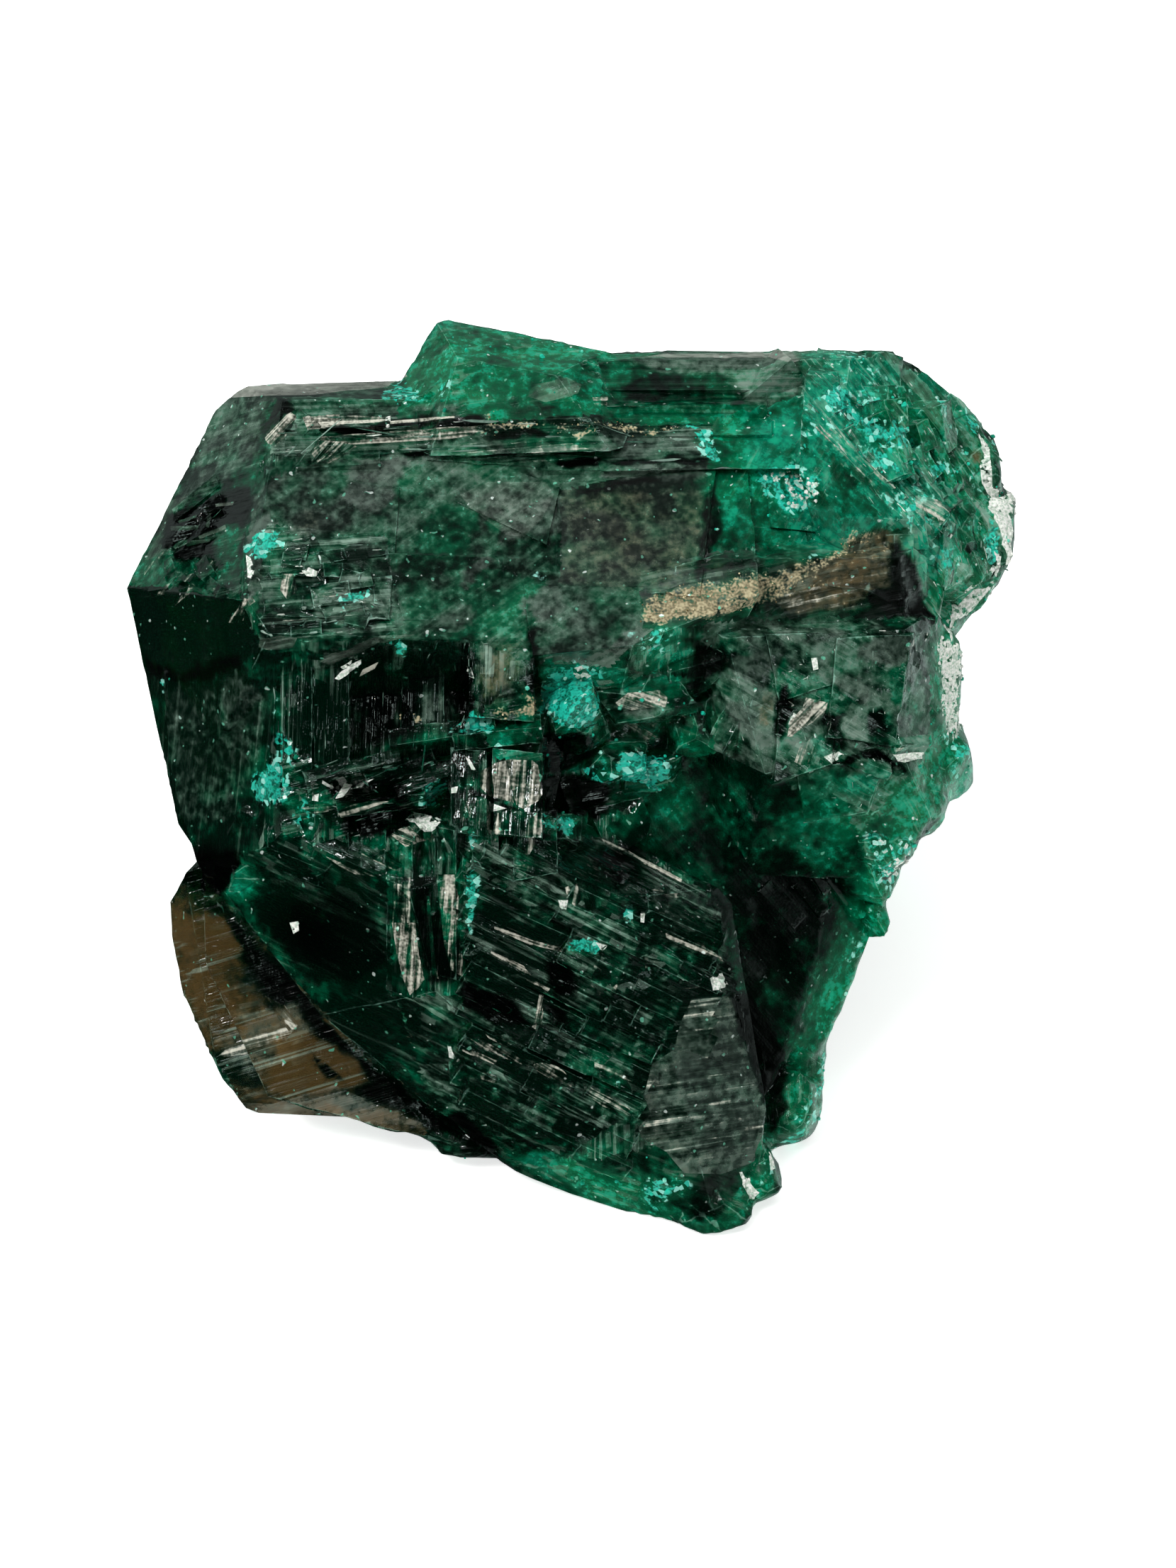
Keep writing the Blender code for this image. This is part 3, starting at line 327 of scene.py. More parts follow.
# traced faces: kind, strength, heading of the fine lines in degrees, outline; later rows lie over earlier
faceRows = readRows("""
haze 0.75 14 305,562 345,560 385,562 372,592 368,640 352,652 335,668 318,680 300,700 265,715 240,745
  232,745 262,672 282,605
pale 0.9 2 306,560 331,544 420,536 552,526 575,530 545,545 480,552 440,558 325,560
pale 0.5 60 262,700 250,715 238,735 236,760 228,775 243,775 240,782 210,790 205,790 225,745 240,705
dark 1 14 243,728 262,716 280,716 296,702 330,700 357,686 357,722 345,742 322,742 283,760 245,773 232,773
  243,745
dark 1 14 250,774 300,764 300,778 262,798 245,790
pale 0.7 15 250,735 278,726 278,731 253,738
pale 0.7 2 240,743 282,742 280,748 242,749
pale 0.8 4 305,712 332,709 330,714 306,716
pale 0.7 20 282,758 320,742 322,748 284,762
pale 0.7 75 292,744 296,725 300,725 297,746
pale 0.6 25 244,772 252,764 266,762 264,768 248,775
pale 0.6 10 262,768 272,764 300,762 298,766 266,772
pearl 0.5 52 205,798 230,778 244,778 250,795 300,783 304,800 270,806 282,812 270,840 250,855 232,850
  212,840 203,822
pearl 0.4 5 270,818 310,814 308,850 262,855
dark 0.75 -4 203,930 260,945 345,928 345,948 268,962 206,952
haze 0.55 84 226,968 268,968 345,955 378,985 366,1080 320,1170 250,1160 238,1060
pearl 0.9 60 325,880 340,862 344,852 362,846 366,852 352,862 348,878 334,882
white 1 70 352,786 358,790 364,805 362,820 355,818
white 0.9 0 430,808 440,805 452,810 450,815 438,816
olive 0.9 80 366,800 378,800 382,820 374,832 362,826
olive 0.9 40 416,745 440,728 452,735 450,755 425,765
pearl 0.8 80 404,812 420,812 424,838 410,848 400,835
pearl 0.7 10 450,838 480,825 500,838 480,846 455,845
pearl 0.5 5 400,862 440,856 520,850 540,862 500,872 440,876 405,880
pale 0.5 10 372,905 400,898 425,902 418,915 385,920 370,915
pale 0.5 25 455,935 470,925 500,918 540,900 590,898 545,910 505,925 470,940
dark 0.8 47 400,560 415,575 412,582 384,598 376,608 380,592
pearl 0.75 47 376,620 386,598 412,584 421,590 410,612 392,632 380,628
pearl 1 3 428,590 480,587 482,606 436,609
pearl 0.65 3 480,588 545,590 546,600 482,606
dark 1 3 480,606 545,601 640,592 690,585 690,603 600,605 540,612 445,616
pearl 1 4 552,596 600,591 642,588 642,592 552,600
white 0.8 88 545,590 552,588 552,605 545,606
haze 0.9 15 565,590 595,572 612,570 660,575 640,588
pearl 1 4 450,620 500,614 560,610 680,603 684,613 640,621 590,625 500,630 452,624
pearl 0.7 45 440,640 452,624 495,627 478,645 450,655
pearl 0.9 33 462,655 500,630 505,633 470,658
pearl 0.9 -15 565,630 590,637 588,642 562,635
dark 1 -8 570,642 600,640 620,650 600,653
haze 0.95 -12 545,643 620,653 660,665 690,680 640,668 548,650
pearl 0.62 5 636,636 650,628 700,626 760,621 800,626 842,640 846,645 800,650 740,656 690,655 640,648
dark 1 2 790,655 820,648 846,648 852,655 800,660
haze 0.9 3 845,622 900,616 955,610 972,612 1000,645 930,650 860,655 846,640
haze 0.7 3 860,662 1005,655 1010,672 940,682 862,690
dark 0.9 3 860,655 930,650 1003,648 1003,653 930,656 860,660
dark 0.9 3 816,693 862,691 862,698 816,700
dark 0.8 3 855,682 900,680 935,680 900,686 856,687
dark 0.8 3 700,612 740,610 770,614 760,619 700,622
pale 0.45 35 690,682 770,682 782,700 765,735 740,760 715,758 665,720 650,700
olive 0.75 20 792,704 830,698 985,690 995,705 985,760 978,832 900,838 792,830
dark 0.5 70 995,700 1012,690 1015,740 1000,800 985,835 982,780
tan 0.8 0 700,598 760,601 765,612 700,612
tan 0.8 0 780,598 800,602 796,615 784,610
tan 0.7 0 800,610 850,611 830,625 815,622
tan 0.7 0 860,607 960,602 962,606 880,616
tan 0.7 80 680,575 695,580 700,612 670,618 682,600
teal 1 -55 968,604 985,605 1002,611 1014,640 1018,662 1004,655 992,632
haze 0.9 3 905,508 1085,500 1130,515 1140,560 1100,562 1060,575 1040,560 1010,535 940,528 910,525
pale 0.8 3 860,508 905,505 935,500 1080,495 1190,488 1205,486 1215,494 1180,498 1140,504 1110,512 1085,503
  960,503
dark 0.35 3 905,530 990,530 1035,540 1060,562 1040,572 960,575 880,562 885,545
haze 0.9 2 870,572 960,574 1060,582 1060,586 960,582 870,578
glow 0.5 2 860,585 1060,588 1010,600 880,602
pearl 0.9 2 836,562 858,560 857,566 838,567
pearl 0.9 2 838,570 857,569 856,576 842,575
pale 0.5 20 750,545 800,535 820,545 815,558 770,570 745,562
glow 1 10 575,540 600,508 680,520 760,530 745,555 700,575 660,570 600,560
teal 0.7 0 540,548 575,540 590,555 560,575 530,565
sugar 0.8 0 618,540 640,538 640,556 622,552
sugar 0.8 -50 680,548 695,552 706,572 694,570
glow 1 60 1040,640 1060,600 1080,578 1125,578 1125,640 1080,655 1040,660 1020,660
glow 0.75 60 1080,655 1160,640 1180,720 1240,740 1160,790 1120,720
dark 0.25 30 1035,700 1100,722 1160,732 1140,780 1060,800 1020,790 1010,770 1030,740
sugar 0.85 30 1070,680 1090,662 1130,665 1150,672 1160,695 1150,715 1120,722 1095,712 1075,700
frost 1 -50 1130,500 1240,495 1340,560 1360,700 1400,760 1300,760 1180,650 1130,590
glow 0.6 -60 1290,1080 1330,1050 1300,1180 1240,1280 1190,1420 1165,1490 1160,1560 1110,1650 1060,1725
  980,1762 900,1725 820,1690 700,1632 690,1600 760,1625 900,1665 990,1695 1050,1640 1100,1550 1120,1450
  1190,1290
frost 0.8 -60 1310,880 1356,890 1358,1020 1385,1060 1385,1095 1345,1150 1300,1190 1295,1260 1255,1290
  1238,1335 1205,1400 1170,1470 1155,1440 1210,1300 1270,1180 1330,1090 1318,1000
rim 1 80 1320,880 1342,900 1350,960 1354,1030 1338,1052 1330,1000 1322,940
glow 0.4 -50 1130,1080 1290,1100 1270,1200 1210,1260 1100,1180
pearl 0.6 -45 1148,605 1165,600 1230,660 1262,690 1232,702 1180,655
pearl 0.6 -30 1290,700 1350,712 1330,740 1290,725
teal 0.95 -30 1160,555 1200,550 1202,572 1180,582 1165,570
teal 0.75 -40 1185,578 1230,598 1245,590 1275,600 1290,625 1240,635 1215,610
teal 0.95 -40 1233,640 1258,645 1262,668 1240,660
teal 0.95 0 1308,660 1335,654 1345,668 1325,674
pale 0.5 -55 1240,495 1260,497 1310,540 1360,620 1390,700 1370,700 1340,620 1300,560
sugar 0.7 -55 1320,555 1340,570 1375,640 1392,700 1376,700 1350,640
teal 0.9 -55 1362,572 1385,600 1380,620 1362,600
white 1 -75 1388,612 1398,625 1406,720 1396,720 1386,680
white 1 -65 1396,680 1412,690 1436,745 1432,800 1415,770 1402,730
brown 0.8 0 1370,630 1388,635 1390,655 1378,662
glow 0.8 -70 1256,768 1300,750 1330,860 1345,900 1320,900 1290,850 1286,800
teal 0.9 80 1384,760 1400,762 1400,790 1388,788
white 0.8 80 1400,780 1412,785 1408,812 1400,806
white 0.8 45 1345,850 1375,825 1400,830 1380,850 1352,872 1340,905 1342,872
umber 0.9 12 1115,800 1190,780 1235,745 1262,762 1285,792 1290,830 1230,838 1200,860 1110,868 1085,850
dark 0.8 60 1250,765 1268,768 1286,795 1290,832 1262,832 1255,800
dark 1 5 1225,844 1290,840 1318,870 1312,885 1290,870 1240,862
tan 0.85 12 900,850 950,835 985,830 1030,845 1080,820 1120,800 1130,812 1100,845 1060,862 1010,870 975,878
  930,890 905,885
tan 0.6 25 1120,800 1180,778 1200,757 1242,744 1225,765 1190,785 1130,815
dark 0.6 30 975,905 1000,912 1040,920 1030,938 985,960 1000,1040 975,1000
dark 0.9 70 1090,985 1108,962 1120,990 1100,1036 1085,1036
dark 0.5 70 1155,1005 1180,1020 1190,1060 1165,1060 1158,1030
dark 0.5 70 1215,1000 1240,995 1250,1030 1248,1055 1218,1055
dark 1 0 1188,1078 1208,1062 1236,1060 1262,1074 1275,1088 1250,1075 1215,1069 1195,1084
olive 0.9 70 1062,995 1085,965 1095,985 1085,1025 1065,1035
pearl 0.9 45 1108,1040 1112,1018 1130,1000 1135,985 1165,992 1160,1012 1130,1028 1115,1040
pearl 0.7 70 1118,1075 1125,1055 1142,1042 1152,1060 1145,1078 1128,1080
white 0.8 20 1160,1068 1180,1060 1188,1065 1172,1078
pearl 0.7 5 1255,1052 1300,1047 1302,1058 1262,1063
white 1 5 1258,1064 1302,1059 1300,1068 1275,1075 1264,1073
white 1 80 1142,930 1150,929 1152,945 1145,947
pearl 0.85 -20 868,992 885,979 930,975 942,985 938,998 880,1004
pearl 0.55 -30 862,1006 940,1000 975,978 990,1000 992,1036 900,1045 868,1030
teal 0.85 -50 765,990 775,965 800,945 830,955 845,990 838,1032 800,1030 778,1012
white 0.6 0 808,945 820,941 834,955 820,963 810,956
teal 0.8 -50 655,1012 668,1002 690,1010 702,1036 680,1040 665,1026
glow 0.8 5 560,1048 600,1037 645,1034 655,1046 600,1056
teal 0.9 -40 876,1092 895,1075 915,1067 938,1084 938,1096 915,1091 936,1122 905,1106 885,1101
teal 0.9 -40 772,1154 795,1164 814,1178 800,1182 780,1170
teal 0.8 60 600,1105 620,1099 632,1110 605,1135 590,1137
sugar 0.8 10 642,1105 680,1096 678,1118 645,1117
dark 0.8 0 765,1040 840,1040 850,1060 800,1090 770,1090
dark 1 0 766,1095 830,1100 860,1110 850,1150 800,1152 768,1142
dark 1 88 642,965 666,938 669,1000 645,1017
dark 0.8 88 508,968 592,972 592,1022 560,1040 510,1044
haze 0.7 88 595,972 640,972 642,1020 598,1020
olive 0.55 86 668,900 755,905 752,1000 700,1010 672,1000
dark 0.7 86 742,890 755,890 760,975 750,1000
tan 0.9 0 690,1008 735,1002 742,980 756,985 756,1005 730,1013 700,1016
tan 1 70 584,1003 590,1003 599,1022 590,1023
tan 1 0 559,1011 568,1012 568,1021 560,1019
white 1 32 476,959 485,949 500,940 513,934 513,940 492,955 482,961
white 0.9 25 484,943 500,935 499,941 488,946
pearl 0.8 30 508,962 515,948 537,937 532,946 514,956
teal 0.9 70 556,908 575,910 577,929 562,925
white 0.7 -70 659,938 667,945 671,959 663,956
haze 0.6 10 500,1095 540,1085 600,1075 652,1067 640,1080 560,1095 500,1102
dark 1 10 470,1110 510,1102 560,1097 580,1130 540,1128 520,1128 480,1132
dark 1 10 490,1152 560,1134 600,1140 575,1165 545,1175 500,1175
white 0.95 50 477,1127 489,1104 500,1107 488,1125
white 0.9 25 497,1113 515,1103 531,1099 512,1110
white 0.9 -30 459,1101 475,1110 472,1113 458,1105
white 0.9 60 445,1122 454,1119 453,1130 444,1129
pearl 0.75 15 478,1146 500,1135 530,1130 552,1131 520,1142 485,1153
pearl 0.6 5 428,1139 460,1132 480,1140 450,1149
pearl 0.4 88 425,1158 470,1145 476,1182 440,1192
pearl 1 84 680,1088 700,1077 717,1073 722,1112 726,1132 690,1122 679,1110
pearl 1 86 715,1074 722,1072 752,1073 760,1080 766,1120 760,1130 740,1141 730,1135 722,1110
dark 1 -20 665,1118 690,1124 728,1138 740,1144 700,1132 668,1124
pearl 0.72 86 690,1148 730,1144 763,1146 767,1170 748,1204 722,1192 700,1186 686,1166
pearl 0.5 84 645,1128 655,1125 666,1160 658,1169 650,1150
pearl 0.7 86 660,1130 686,1128 692,1148 680,1164 664,1152
white 0.85 0 690,1131 716,1140 694,1145
white 0.85 0 634,1112 648,1109 646,1118 636,1119
white 0.9 -60 659,1069 664,1071 673,1086 667,1086
white 0.9 -25 574,1156 585,1145 605,1150 623,1160 612,1172 600,1173 590,1162
pearl 0.8 -22 553,1176 580,1164 602,1185 575,1194
pearl 0.6 -70 616,1164 626,1170 642,1202 632,1206
pearl 0.7 -28 508,1204 545,1197 573,1220 560,1227 530,1213
pearl 0.6 -28 463,1207 500,1222 532,1236 498,1232
pearl 0.8 88 559,1238 587,1236 588,1300 555,1300
pearl 1 86 555,1300 588,1300 593,1345 600,1380 590,1394 580,1402 571,1380 561,1345
dark 0.6 87 588,1236 620,1236 636,1380 604,1380
pearl 0.9 86 604,1262 608,1262 616,1355 620,1378 612,1374
pearl 0.85 86 617,1232 643,1232 648,1262 654,1350 655,1376 638,1366 629,1332 621,1262
teal 0.8 88 661,1178 671,1174 677,1196 670,1204
teal 0.55 88 665,1222 676,1222 679,1250 671,1262 673,1300 662,1322 655,1300 660,1262
dark 0.4 -25 420,1270 500,1260 540,1290 550,1350 500,1390 440,1360 410,1300
glow 0.45 -45 318,1236 345,1220 372,1300 430,1345 480,1400 440,1405 380,1350 330,1290 310,1262
white 1 0 410,1301 422,1299 423,1312 415,1317
dark 1 -45 300,1283 330,1290 352,1340 395,1365 425,1400 450,1430 470,1460 500,1490 540,1520 600,1560
  620,1592 560,1572 520,1548 500,1512 470,1482 440,1452 410,1432 385,1400 355,1352
dark 1 -10 255,1190 300,1215 330,1200 345,1215 322,1250 300,1262 250,1240
brown 1 15 238,1295 320,1290 342,1345 270,1352 233,1330
brown 1 15 400,1480 425,1452 470,1475 500,1495 522,1530 470,1536 400,1550 380,1540
haze 0.9 15 296,1470 350,1440 418,1412 440,1450 420,1500 345,1528 318,1500
haze 1 0 352,1574 392,1552 470,1540 545,1562 598,1592 480,1588 371,1581
pearl 0.62 15 318,1480 360,1455 400,1440 418,1448 400,1470 345,1490 300,1496
pearl 0.62 15 352,1522 400,1510 432,1500 428,1509 395,1521 348,1532
pearl 0.6 -50 372,1406 400,1420 422,1450 405,1456 385,1430
dark 1 -40 440,1487 455,1498 477,1518 462,1519 445,1503
pale 0.42 15 335,1560 380,1562 470,1533 500,1547 560,1574 600,1590 370,1582 345,1575
dark 1 -40 600,1592 640,1568 660,1574 702,1618 690,1622 640,1612
pale 0.3 0 622,1622 650,1611 690,1621 702,1622 670,1636 638,1634
haze 0.6 -5 632,1562 680,1556 720,1558 690,1566 640,1568
pearl 0.83 -18 719,1222 745,1217 763,1230 756,1236 735,1227
pearl 0.79 -18 698,1303 750,1324 800,1337 798,1342 748,1331 699,1309
pearl 0.8 -28 693,1339 740,1361 752,1376 777,1392 772,1400 745,1382 735,1369 693,1347
pearl 0.85 78 751,1447 756,1425 762,1400 768,1400 764,1440 757,1452
pearl 0.82 -40 830,1384 848,1398 862,1394 873,1383 868,1396 862,1413 850,1406
pearl 0.79 -30 838,1358 860,1370 856,1375 837,1365
pearl 0.8 -24 938,1312 985,1328 1016,1349 1023,1360 980,1339 939,1321
haze 0.4 -28 905,1212 960,1240 1010,1272 1018,1320 980,1318 930,1290 915,1250
pearl 0.8 -28 848,1181 880,1197 962,1239 960,1244 878,1204 850,1188
pearl 0.7 -10 908,1348 935,1353 942,1362 910,1364
pearl 0.79 -8 918,1254 962,1261 957,1267 922,1262
white 0.85 20 1000,1378 1020,1373 1029,1390 1005,1396
pearl 0.6 0 960,1382 985,1379 992,1391 964,1393
pearl 0.8 -32 678,1446 700,1454 724,1472 716,1476 690,1463
pearl 0.72 -32 658,1456 690,1469 750,1500 742,1503 680,1476
pearl 0.79 -28 653,1473 702,1494 697,1499 653,1480
pearl 0.79 -32 748,1493 790,1504 802,1518 812,1532 795,1531 758,1509
pearl 0.79 -26 838,1496 895,1519 890,1526 838,1503
pearl 0.76 -30 823,1528 860,1546 888,1562 888,1573 850,1559 826,1541
white 0.9 80 632,1474 640,1476 641,1493 634,1491
pearl 0.72 -20 678,1511 702,1514 702,1526 680,1523
pearl 0.8 80 798,1250 812,1244 822,1265 812,1278 802,1270
pearl 0.55 -70 822,1250 842,1244 848,1275 826,1287
white 0.9 0 788,1268 801,1269 799,1281 790,1278
teal 0.7 -5 793,1330 830,1324 857,1334 840,1343 798,1343
white 0.8 0 840,1327 857,1332 849,1341
teal 1 0 879,1284 892,1283 893,1297 884,1295
white 0.9 80 903,1287 909,1287 908,1300 903,1299
dark 1 -30 838,1195 870,1202 907,1225 900,1247 870,1252 855,1230
dark 0.9 -28 648,1378 690,1395 735,1410 742,1442 700,1440 652,1420
dark 0.9 -28 775,1350 812,1365 815,1402 780,1400
dark 0.7 -28 768,1420 802,1425 802,1447 774,1445
plate 1 8 975,1408 1035,1405 1048,1460 1060,1510 1080,1545 1082,1575 1065,1640 1018,1658 965,1655 940,1625
  905,1605 900,1590 918,1570 908,1545 920,1500 950,1480 960,1440 970,1420
dark 0.9 75 1036,1405 1060,1400 1100,1480 1110,1560 1085,1600 1082,1545 1060,1510 1048,1460
olive 0.7 60 1080,1625 1100,1600 1120,1560 1140,1510 1157,1488 1150,1530 1125,1580 1100,1615
sugar 0.5 60 1157,1478 1174,1495 1172,1545 1150,1590 1120,1640 1095,1662 1080,1692 1062,1682 1085,1640
  1110,1600 1140,1560 1155,1520
white 0.8 -50 1043,1655 1060,1668 1074,1686 1060,1692 1048,1674
white 0.8 60 1088,1628 1101,1640 1092,1652
dark 0.35 5 960,1665 1035,1655 1045,1680 1030,1710 985,1725 940,1700
teal 0.55 5 905,1670 990,1664 960,1690 930,1722 910,1716
glow 1 -60 1166,1440 1185,1398 1213,1368 1240,1322 1292,1285 1292,1300 1248,1342 1203,1420 1168,1475
glow 0.9 -60 1290,1110 1340,1108 1378,1080 1372,1112 1335,1152 1300,1182 1288,1205
sugar 0.7 -40 1218,1170 1290,1168 1292,1230 1255,1252 1220,1222
""")
# each kind of face: how soft its edge is in millimetres, and what it sets in the finish. The pearl, pale
# and plate kinds paint sheen and grey reflections, white paints glints, glow, rim and frost paint light
# passing through thin crystal, sugar is teal crust with painted glints and glow, olive and umber mix their
# own stain and tan with painted sheen, brown paints a brown reflection at the lower left, and dark paints
# shade
kinds = {
    "pearl": (0.0, {"pearl": 1.0}),
    "pale": (0.0, {"pale": 1.0}),
    "haze": (0.25, {"haze": 0.95}),
    "olive": (0.30, {"haze": 0.66, "rust": 0.46, "glow": 0.5}),
    "brown": (0.20, {"rust": 1.0, "haze": 0.15}),
    "plate": (0.0, {"haze": 0.85, "rust": 0.25, "glow": 0.4, "pearl": 0.5}),
    "umber": (0.15, {"haze": 0.75, "rust": 0.6, "glow": 0.25, "pearl": 0.62, "tan": 0.4}),
    "rim": (0.2, {"white": 0.88, "glow": 0.9, "teal": 0.4}),
    "glow": (0.35, {"glow": 1.0, "haze": 0.1}),
    "teal": (0.12, {"teal": 1.0, "glow": 0.8}),
    "tan": (0.16, {"tan": 1.0, "rust": 0.3}),
    "white": (0.0, {"white": 1.0}),
    "sugar": (0.25, {"teal": 0.85, "white": 0.6, "glow": 0.9}),
    "frost": (0.30, {"pearl": 0.35, "glow": 0.95, "teal": 0.35, "white": 0.3, "haze": 0.3}),
    "dark": (0.08, {"dark": 1.0}),
}


# a mesh's values by name, in rows of three
def readArray(items, name, width=3, kind=float):
    values = np.empty(len(items) * width, kind)
    items.foreach_get(name, values)
    return values.reshape(-1, 3)


print("refining the stone")
stoneMesh, ridge, crease = refinedStone()
count = len(stoneMesh.vertices)
spots = toViewer(readArray(stoneMesh.vertices, "co"))
normals = readArray(stoneMesh.vertices, "normal") @ viewTurn
corners = readArray(stoneMesh.loops, "vertex_index", 1, int)
facing = readArray(stoneMesh.polygons, "normal") @ viewTurn
print("   triangles", len(corners))

# random drifts of every corner: slow for the zones' edges, fine for the marks, one for the finish's bricks
warp = np.stack([layeredNoise(spots, stone["slowCell"], seed) for seed in (1, 2, 3)], axis=1)
fine = np.stack([layeredNoise(spots, stone["fineCell"], seed) for seed in (4, 5)], axis=1)
wobble = np.stack([smoothNoise(spots, stone["wobbleCell"], seed) for seed in (6, 7, 8)], axis=1)
wobble = 0.5 + 0.35 * wobble
places = spots[:, :2] + stone["zoneWarp"] * warp[:, :2]
middlePlaces = places[corners].mean(axis=1)
flat = spots[corners].mean(axis=1)[:, :2]
# marks fade out where the surface turns from the viewer
front = np.clip((normals[:, 2] + 0.25) / 0.35, 0.0, 1.0)

# each zone: heading of its growth in degrees; its blocks' length, width and depth, step, tilt, roughness
# and striation; painted green glow, grey haze of dust and painted sheen, rust and painted brown reflection,
# dullness, striae and facets of its finish; then its outline
zoneRows = readRows("""
back 90 2.6 1.1 1.1 0.05 0.05 0.03 0.012 0.5 0.3 0 0.18 0.8 0.5
topStrip 0 4 1 1 0.01 0.01 0.01 0.005 0.4 0.6 0 0.12 0.3 0 290,560 560,520 600,565 400,568 310,580
leftUpper 14 1.2 0.6 0.8 0.03 0.05 0.015 0.01 0.5 0.25 0 0.1 0.5 0.3 300,574 400,565 355,700 345,850
  181,829
leftDark -4 3 1.4 1.4 0.02 0.02 0.008 0.004 0.1 0 0 0.03 0.2 0.05 170,820 345,850 370,905 345,945 200,960
leftPrism 84 2.5 0.8 1 0.02 0.03 0.012 0.01 0.36 0.22 0 0.12 0.5 0.1 200,955 345,945 400,930 405,1060
  380,1200 330,1260 220,1217
topBands 2 1.6 0.6 0.6 0.03 0.05 0.01 0.01 0.5 0.5 0 0.08 1 0.5 400,560 1000,580 1010,655 430,655 380,640
mainFace 35 1.8 0.9 0.9 0.02 0.025 0.012 0.004 0.5 0.7 0 0.15 0.2 0.25 400,650 1000,655 985,830 860,945
  760,960 680,905 370,900 355,850 355,700
blocky 4 0.8 0.5 0.5 0.05 0.08 0.02 0.01 0.45 0.5 0.05 0.1 0.7 0.9 380,745 550,760 560,905 370,905
olive 20 3 2 2 0.01 0.01 0.006 0.002 0.35 0.45 0.22 0.2 0.1 0.05 792,692 1000,655 985,830 792,828
summit 10 0.9 0.6 0.6 0.04 0.06 0.04 0.01 1 0.05 0 0.15 0.4 0.4 560,600 581,498 617,458 643,440 786,470
  900,500 900,590
upperRight 0 1.8 0.6 0.6 0.03 0.05 0.02 0.01 0.75 0.2 0 0.12 0.7 0.3 840,480 1230,480 1130,600 850,600
emerald 60 1 0.8 0.8 0.03 0.04 0.03 0.006 0.85 0 0 0.08 0.3 0.15 1000,590 1130,560 1260,700 1230,800
  1000,840
slope -50 0.8 0.5 0.5 0.05 0.1 0.05 0.01 1 0.35 0 0.2 0.8 0.8 1130,480 1330,530 1450,620 1450,860 1300,870
  1250,740 1130,570
seam 12 0.6 0.5 0.5 0.05 0.07 0.05 0.01 0.5 0.25 0.2 0.35 0.5 0.5 900,800 1290,745 1300,870 1110,890
  905,890
block -30 0.9 0.6 0.6 0.04 0.05 0.03 0.006 0.6 0.7 0 0.12 0.3 0.6 990,880 1330,870 1330,1050 1290,1170
  1150,1190 990,1100
edge -60 0.8 0.6 0.6 0.05 0.07 0.07 0.01 0.8 0.25 0 0.2 0.4 0.4 1310,870 1370,870 1400,1110 1293,1220
  1291,1280 1180,1480 1160,1400 1220,1170 1310,1050
middle 88 1.1 0.5 0.5 0.04 0.06 0.015 0.01 0.28 0.15 0 0.05 1 0.8 400,925 680,905 770,960 790,1060
  620,1110 420,1190 370,1200 390,1000
crust 10 0.5 0.5 0.5 0.06 0.1 0.06 0.01 0.6 0.1 0 0.12 0.4 0.7 680,1000 770,930 1000,960 1010,1110
  850,1150 760,1180 690,1060
shelves 15 0.9 0.5 0.5 0.05 0.1 0.02 0.01 0.35 0.1 0 0.08 0.8 0.9 400,1070 640,1080 640,1160 560,1170
  400,1200
brightBlocks 86 0.9 0.5 0.5 0.03 0.05 0.01 0.01 0.4 0.25 0 0.08 1 0.6 630,1070 770,1070 775,1190 630,1190
brightColumn 88 1.5 0.5 0.5 0.03 0.05 0.01 0.01 0.4 0.2 0 0.08 1 0.6 550,1150 660,1160 660,1410 550,1410
leftWedge -25 1 0.6 0.6 0.04 0.05 0.03 0.01 0.25 0 0 0.05 0.4 0.4 300,1240 400,1180 550,1190 555,1400
  620,1590 460,1480 330,1320
ledges -28 1.4 0.5 0.5 0.05 0.09 0.015 0.01 0.25 0.3 0 0.07 0.9 0.85 655,1190 850,1180 1015,1270 1040,1400
  960,1402 900,1570 760,1650 620,1600 560,1410 655,1400
plate 6 4 2 2 0.004 0.006 0.004 0.004 0.35 0.5 0.1 0.16 0.7 0.15 965,1402 1035,1402 1050,1470 1080,1550
  1070,1640 1010,1655 930,1620 900,1600 905,1540 925,1500 955,1430
flank -50 1.6 0.8 0.8 0.03 0.03 0.02 0.005 0.5 0 0 0.05 0.12 0.1 850,1170 1000,1060 1200,1150 1240,1300
  1165,1480 1080,1560 1040,1400 1012,1265
brown 17 1.4 0.6 0.6 0.03 0.04 0.02 0.01 0.05 0.35 0.6 0.15 1 0.3 220,1200 310,1260 600,1590 590,1640
  344,1580 291,1485 225,1330
lowRim -20 0.9 0.6 0.6 0.04 0.06 0.04 0.01 0.45 0.1 0 0.2 0.4 0.4 600,1600 760,1650 930,1620 1010,1655
  1075,1640 1180,1480 1200,1560 1050,1760 960,1770 640,1650
""")
# soft-edged places of wear and marks: strength, turn in degrees, middle, half sizes
wornRows = readRows("""
worn 1 0 1290,1240 40,90  worn 1 0 1340,1130 50,60  worn 1 50 1160,1600 90,60  worn 1 0 1110,1680 50,50
worn 1 0 1180,1530 30,60  worn 1 0 1405,760 50,90  worn 0.8 0 1410,640 40,50  worn 1 0 1370,860 50,40
worn 0.8 0 1000,1740 90,30  worn 0.8 0 660,1610 60,40  worn 0.7 0 1350,960 24,110  worn 0.5 0 560,500 30,40
""")
zoneNames = [row[0] for row in zoneRows]
zoneOf = np.zeros(len(corners), int)
for number, row in enumerate(zoneRows[1:], 1):
    zoneOf[inside(middlePlaces, px(*row[15:])) & (facing[:, 2] > 0.0)] = number
relief = np.zeros(count)
grain = np.zeros((len(corners), 3, 3))
finish = np.zeros((len(corners), 3, 6))
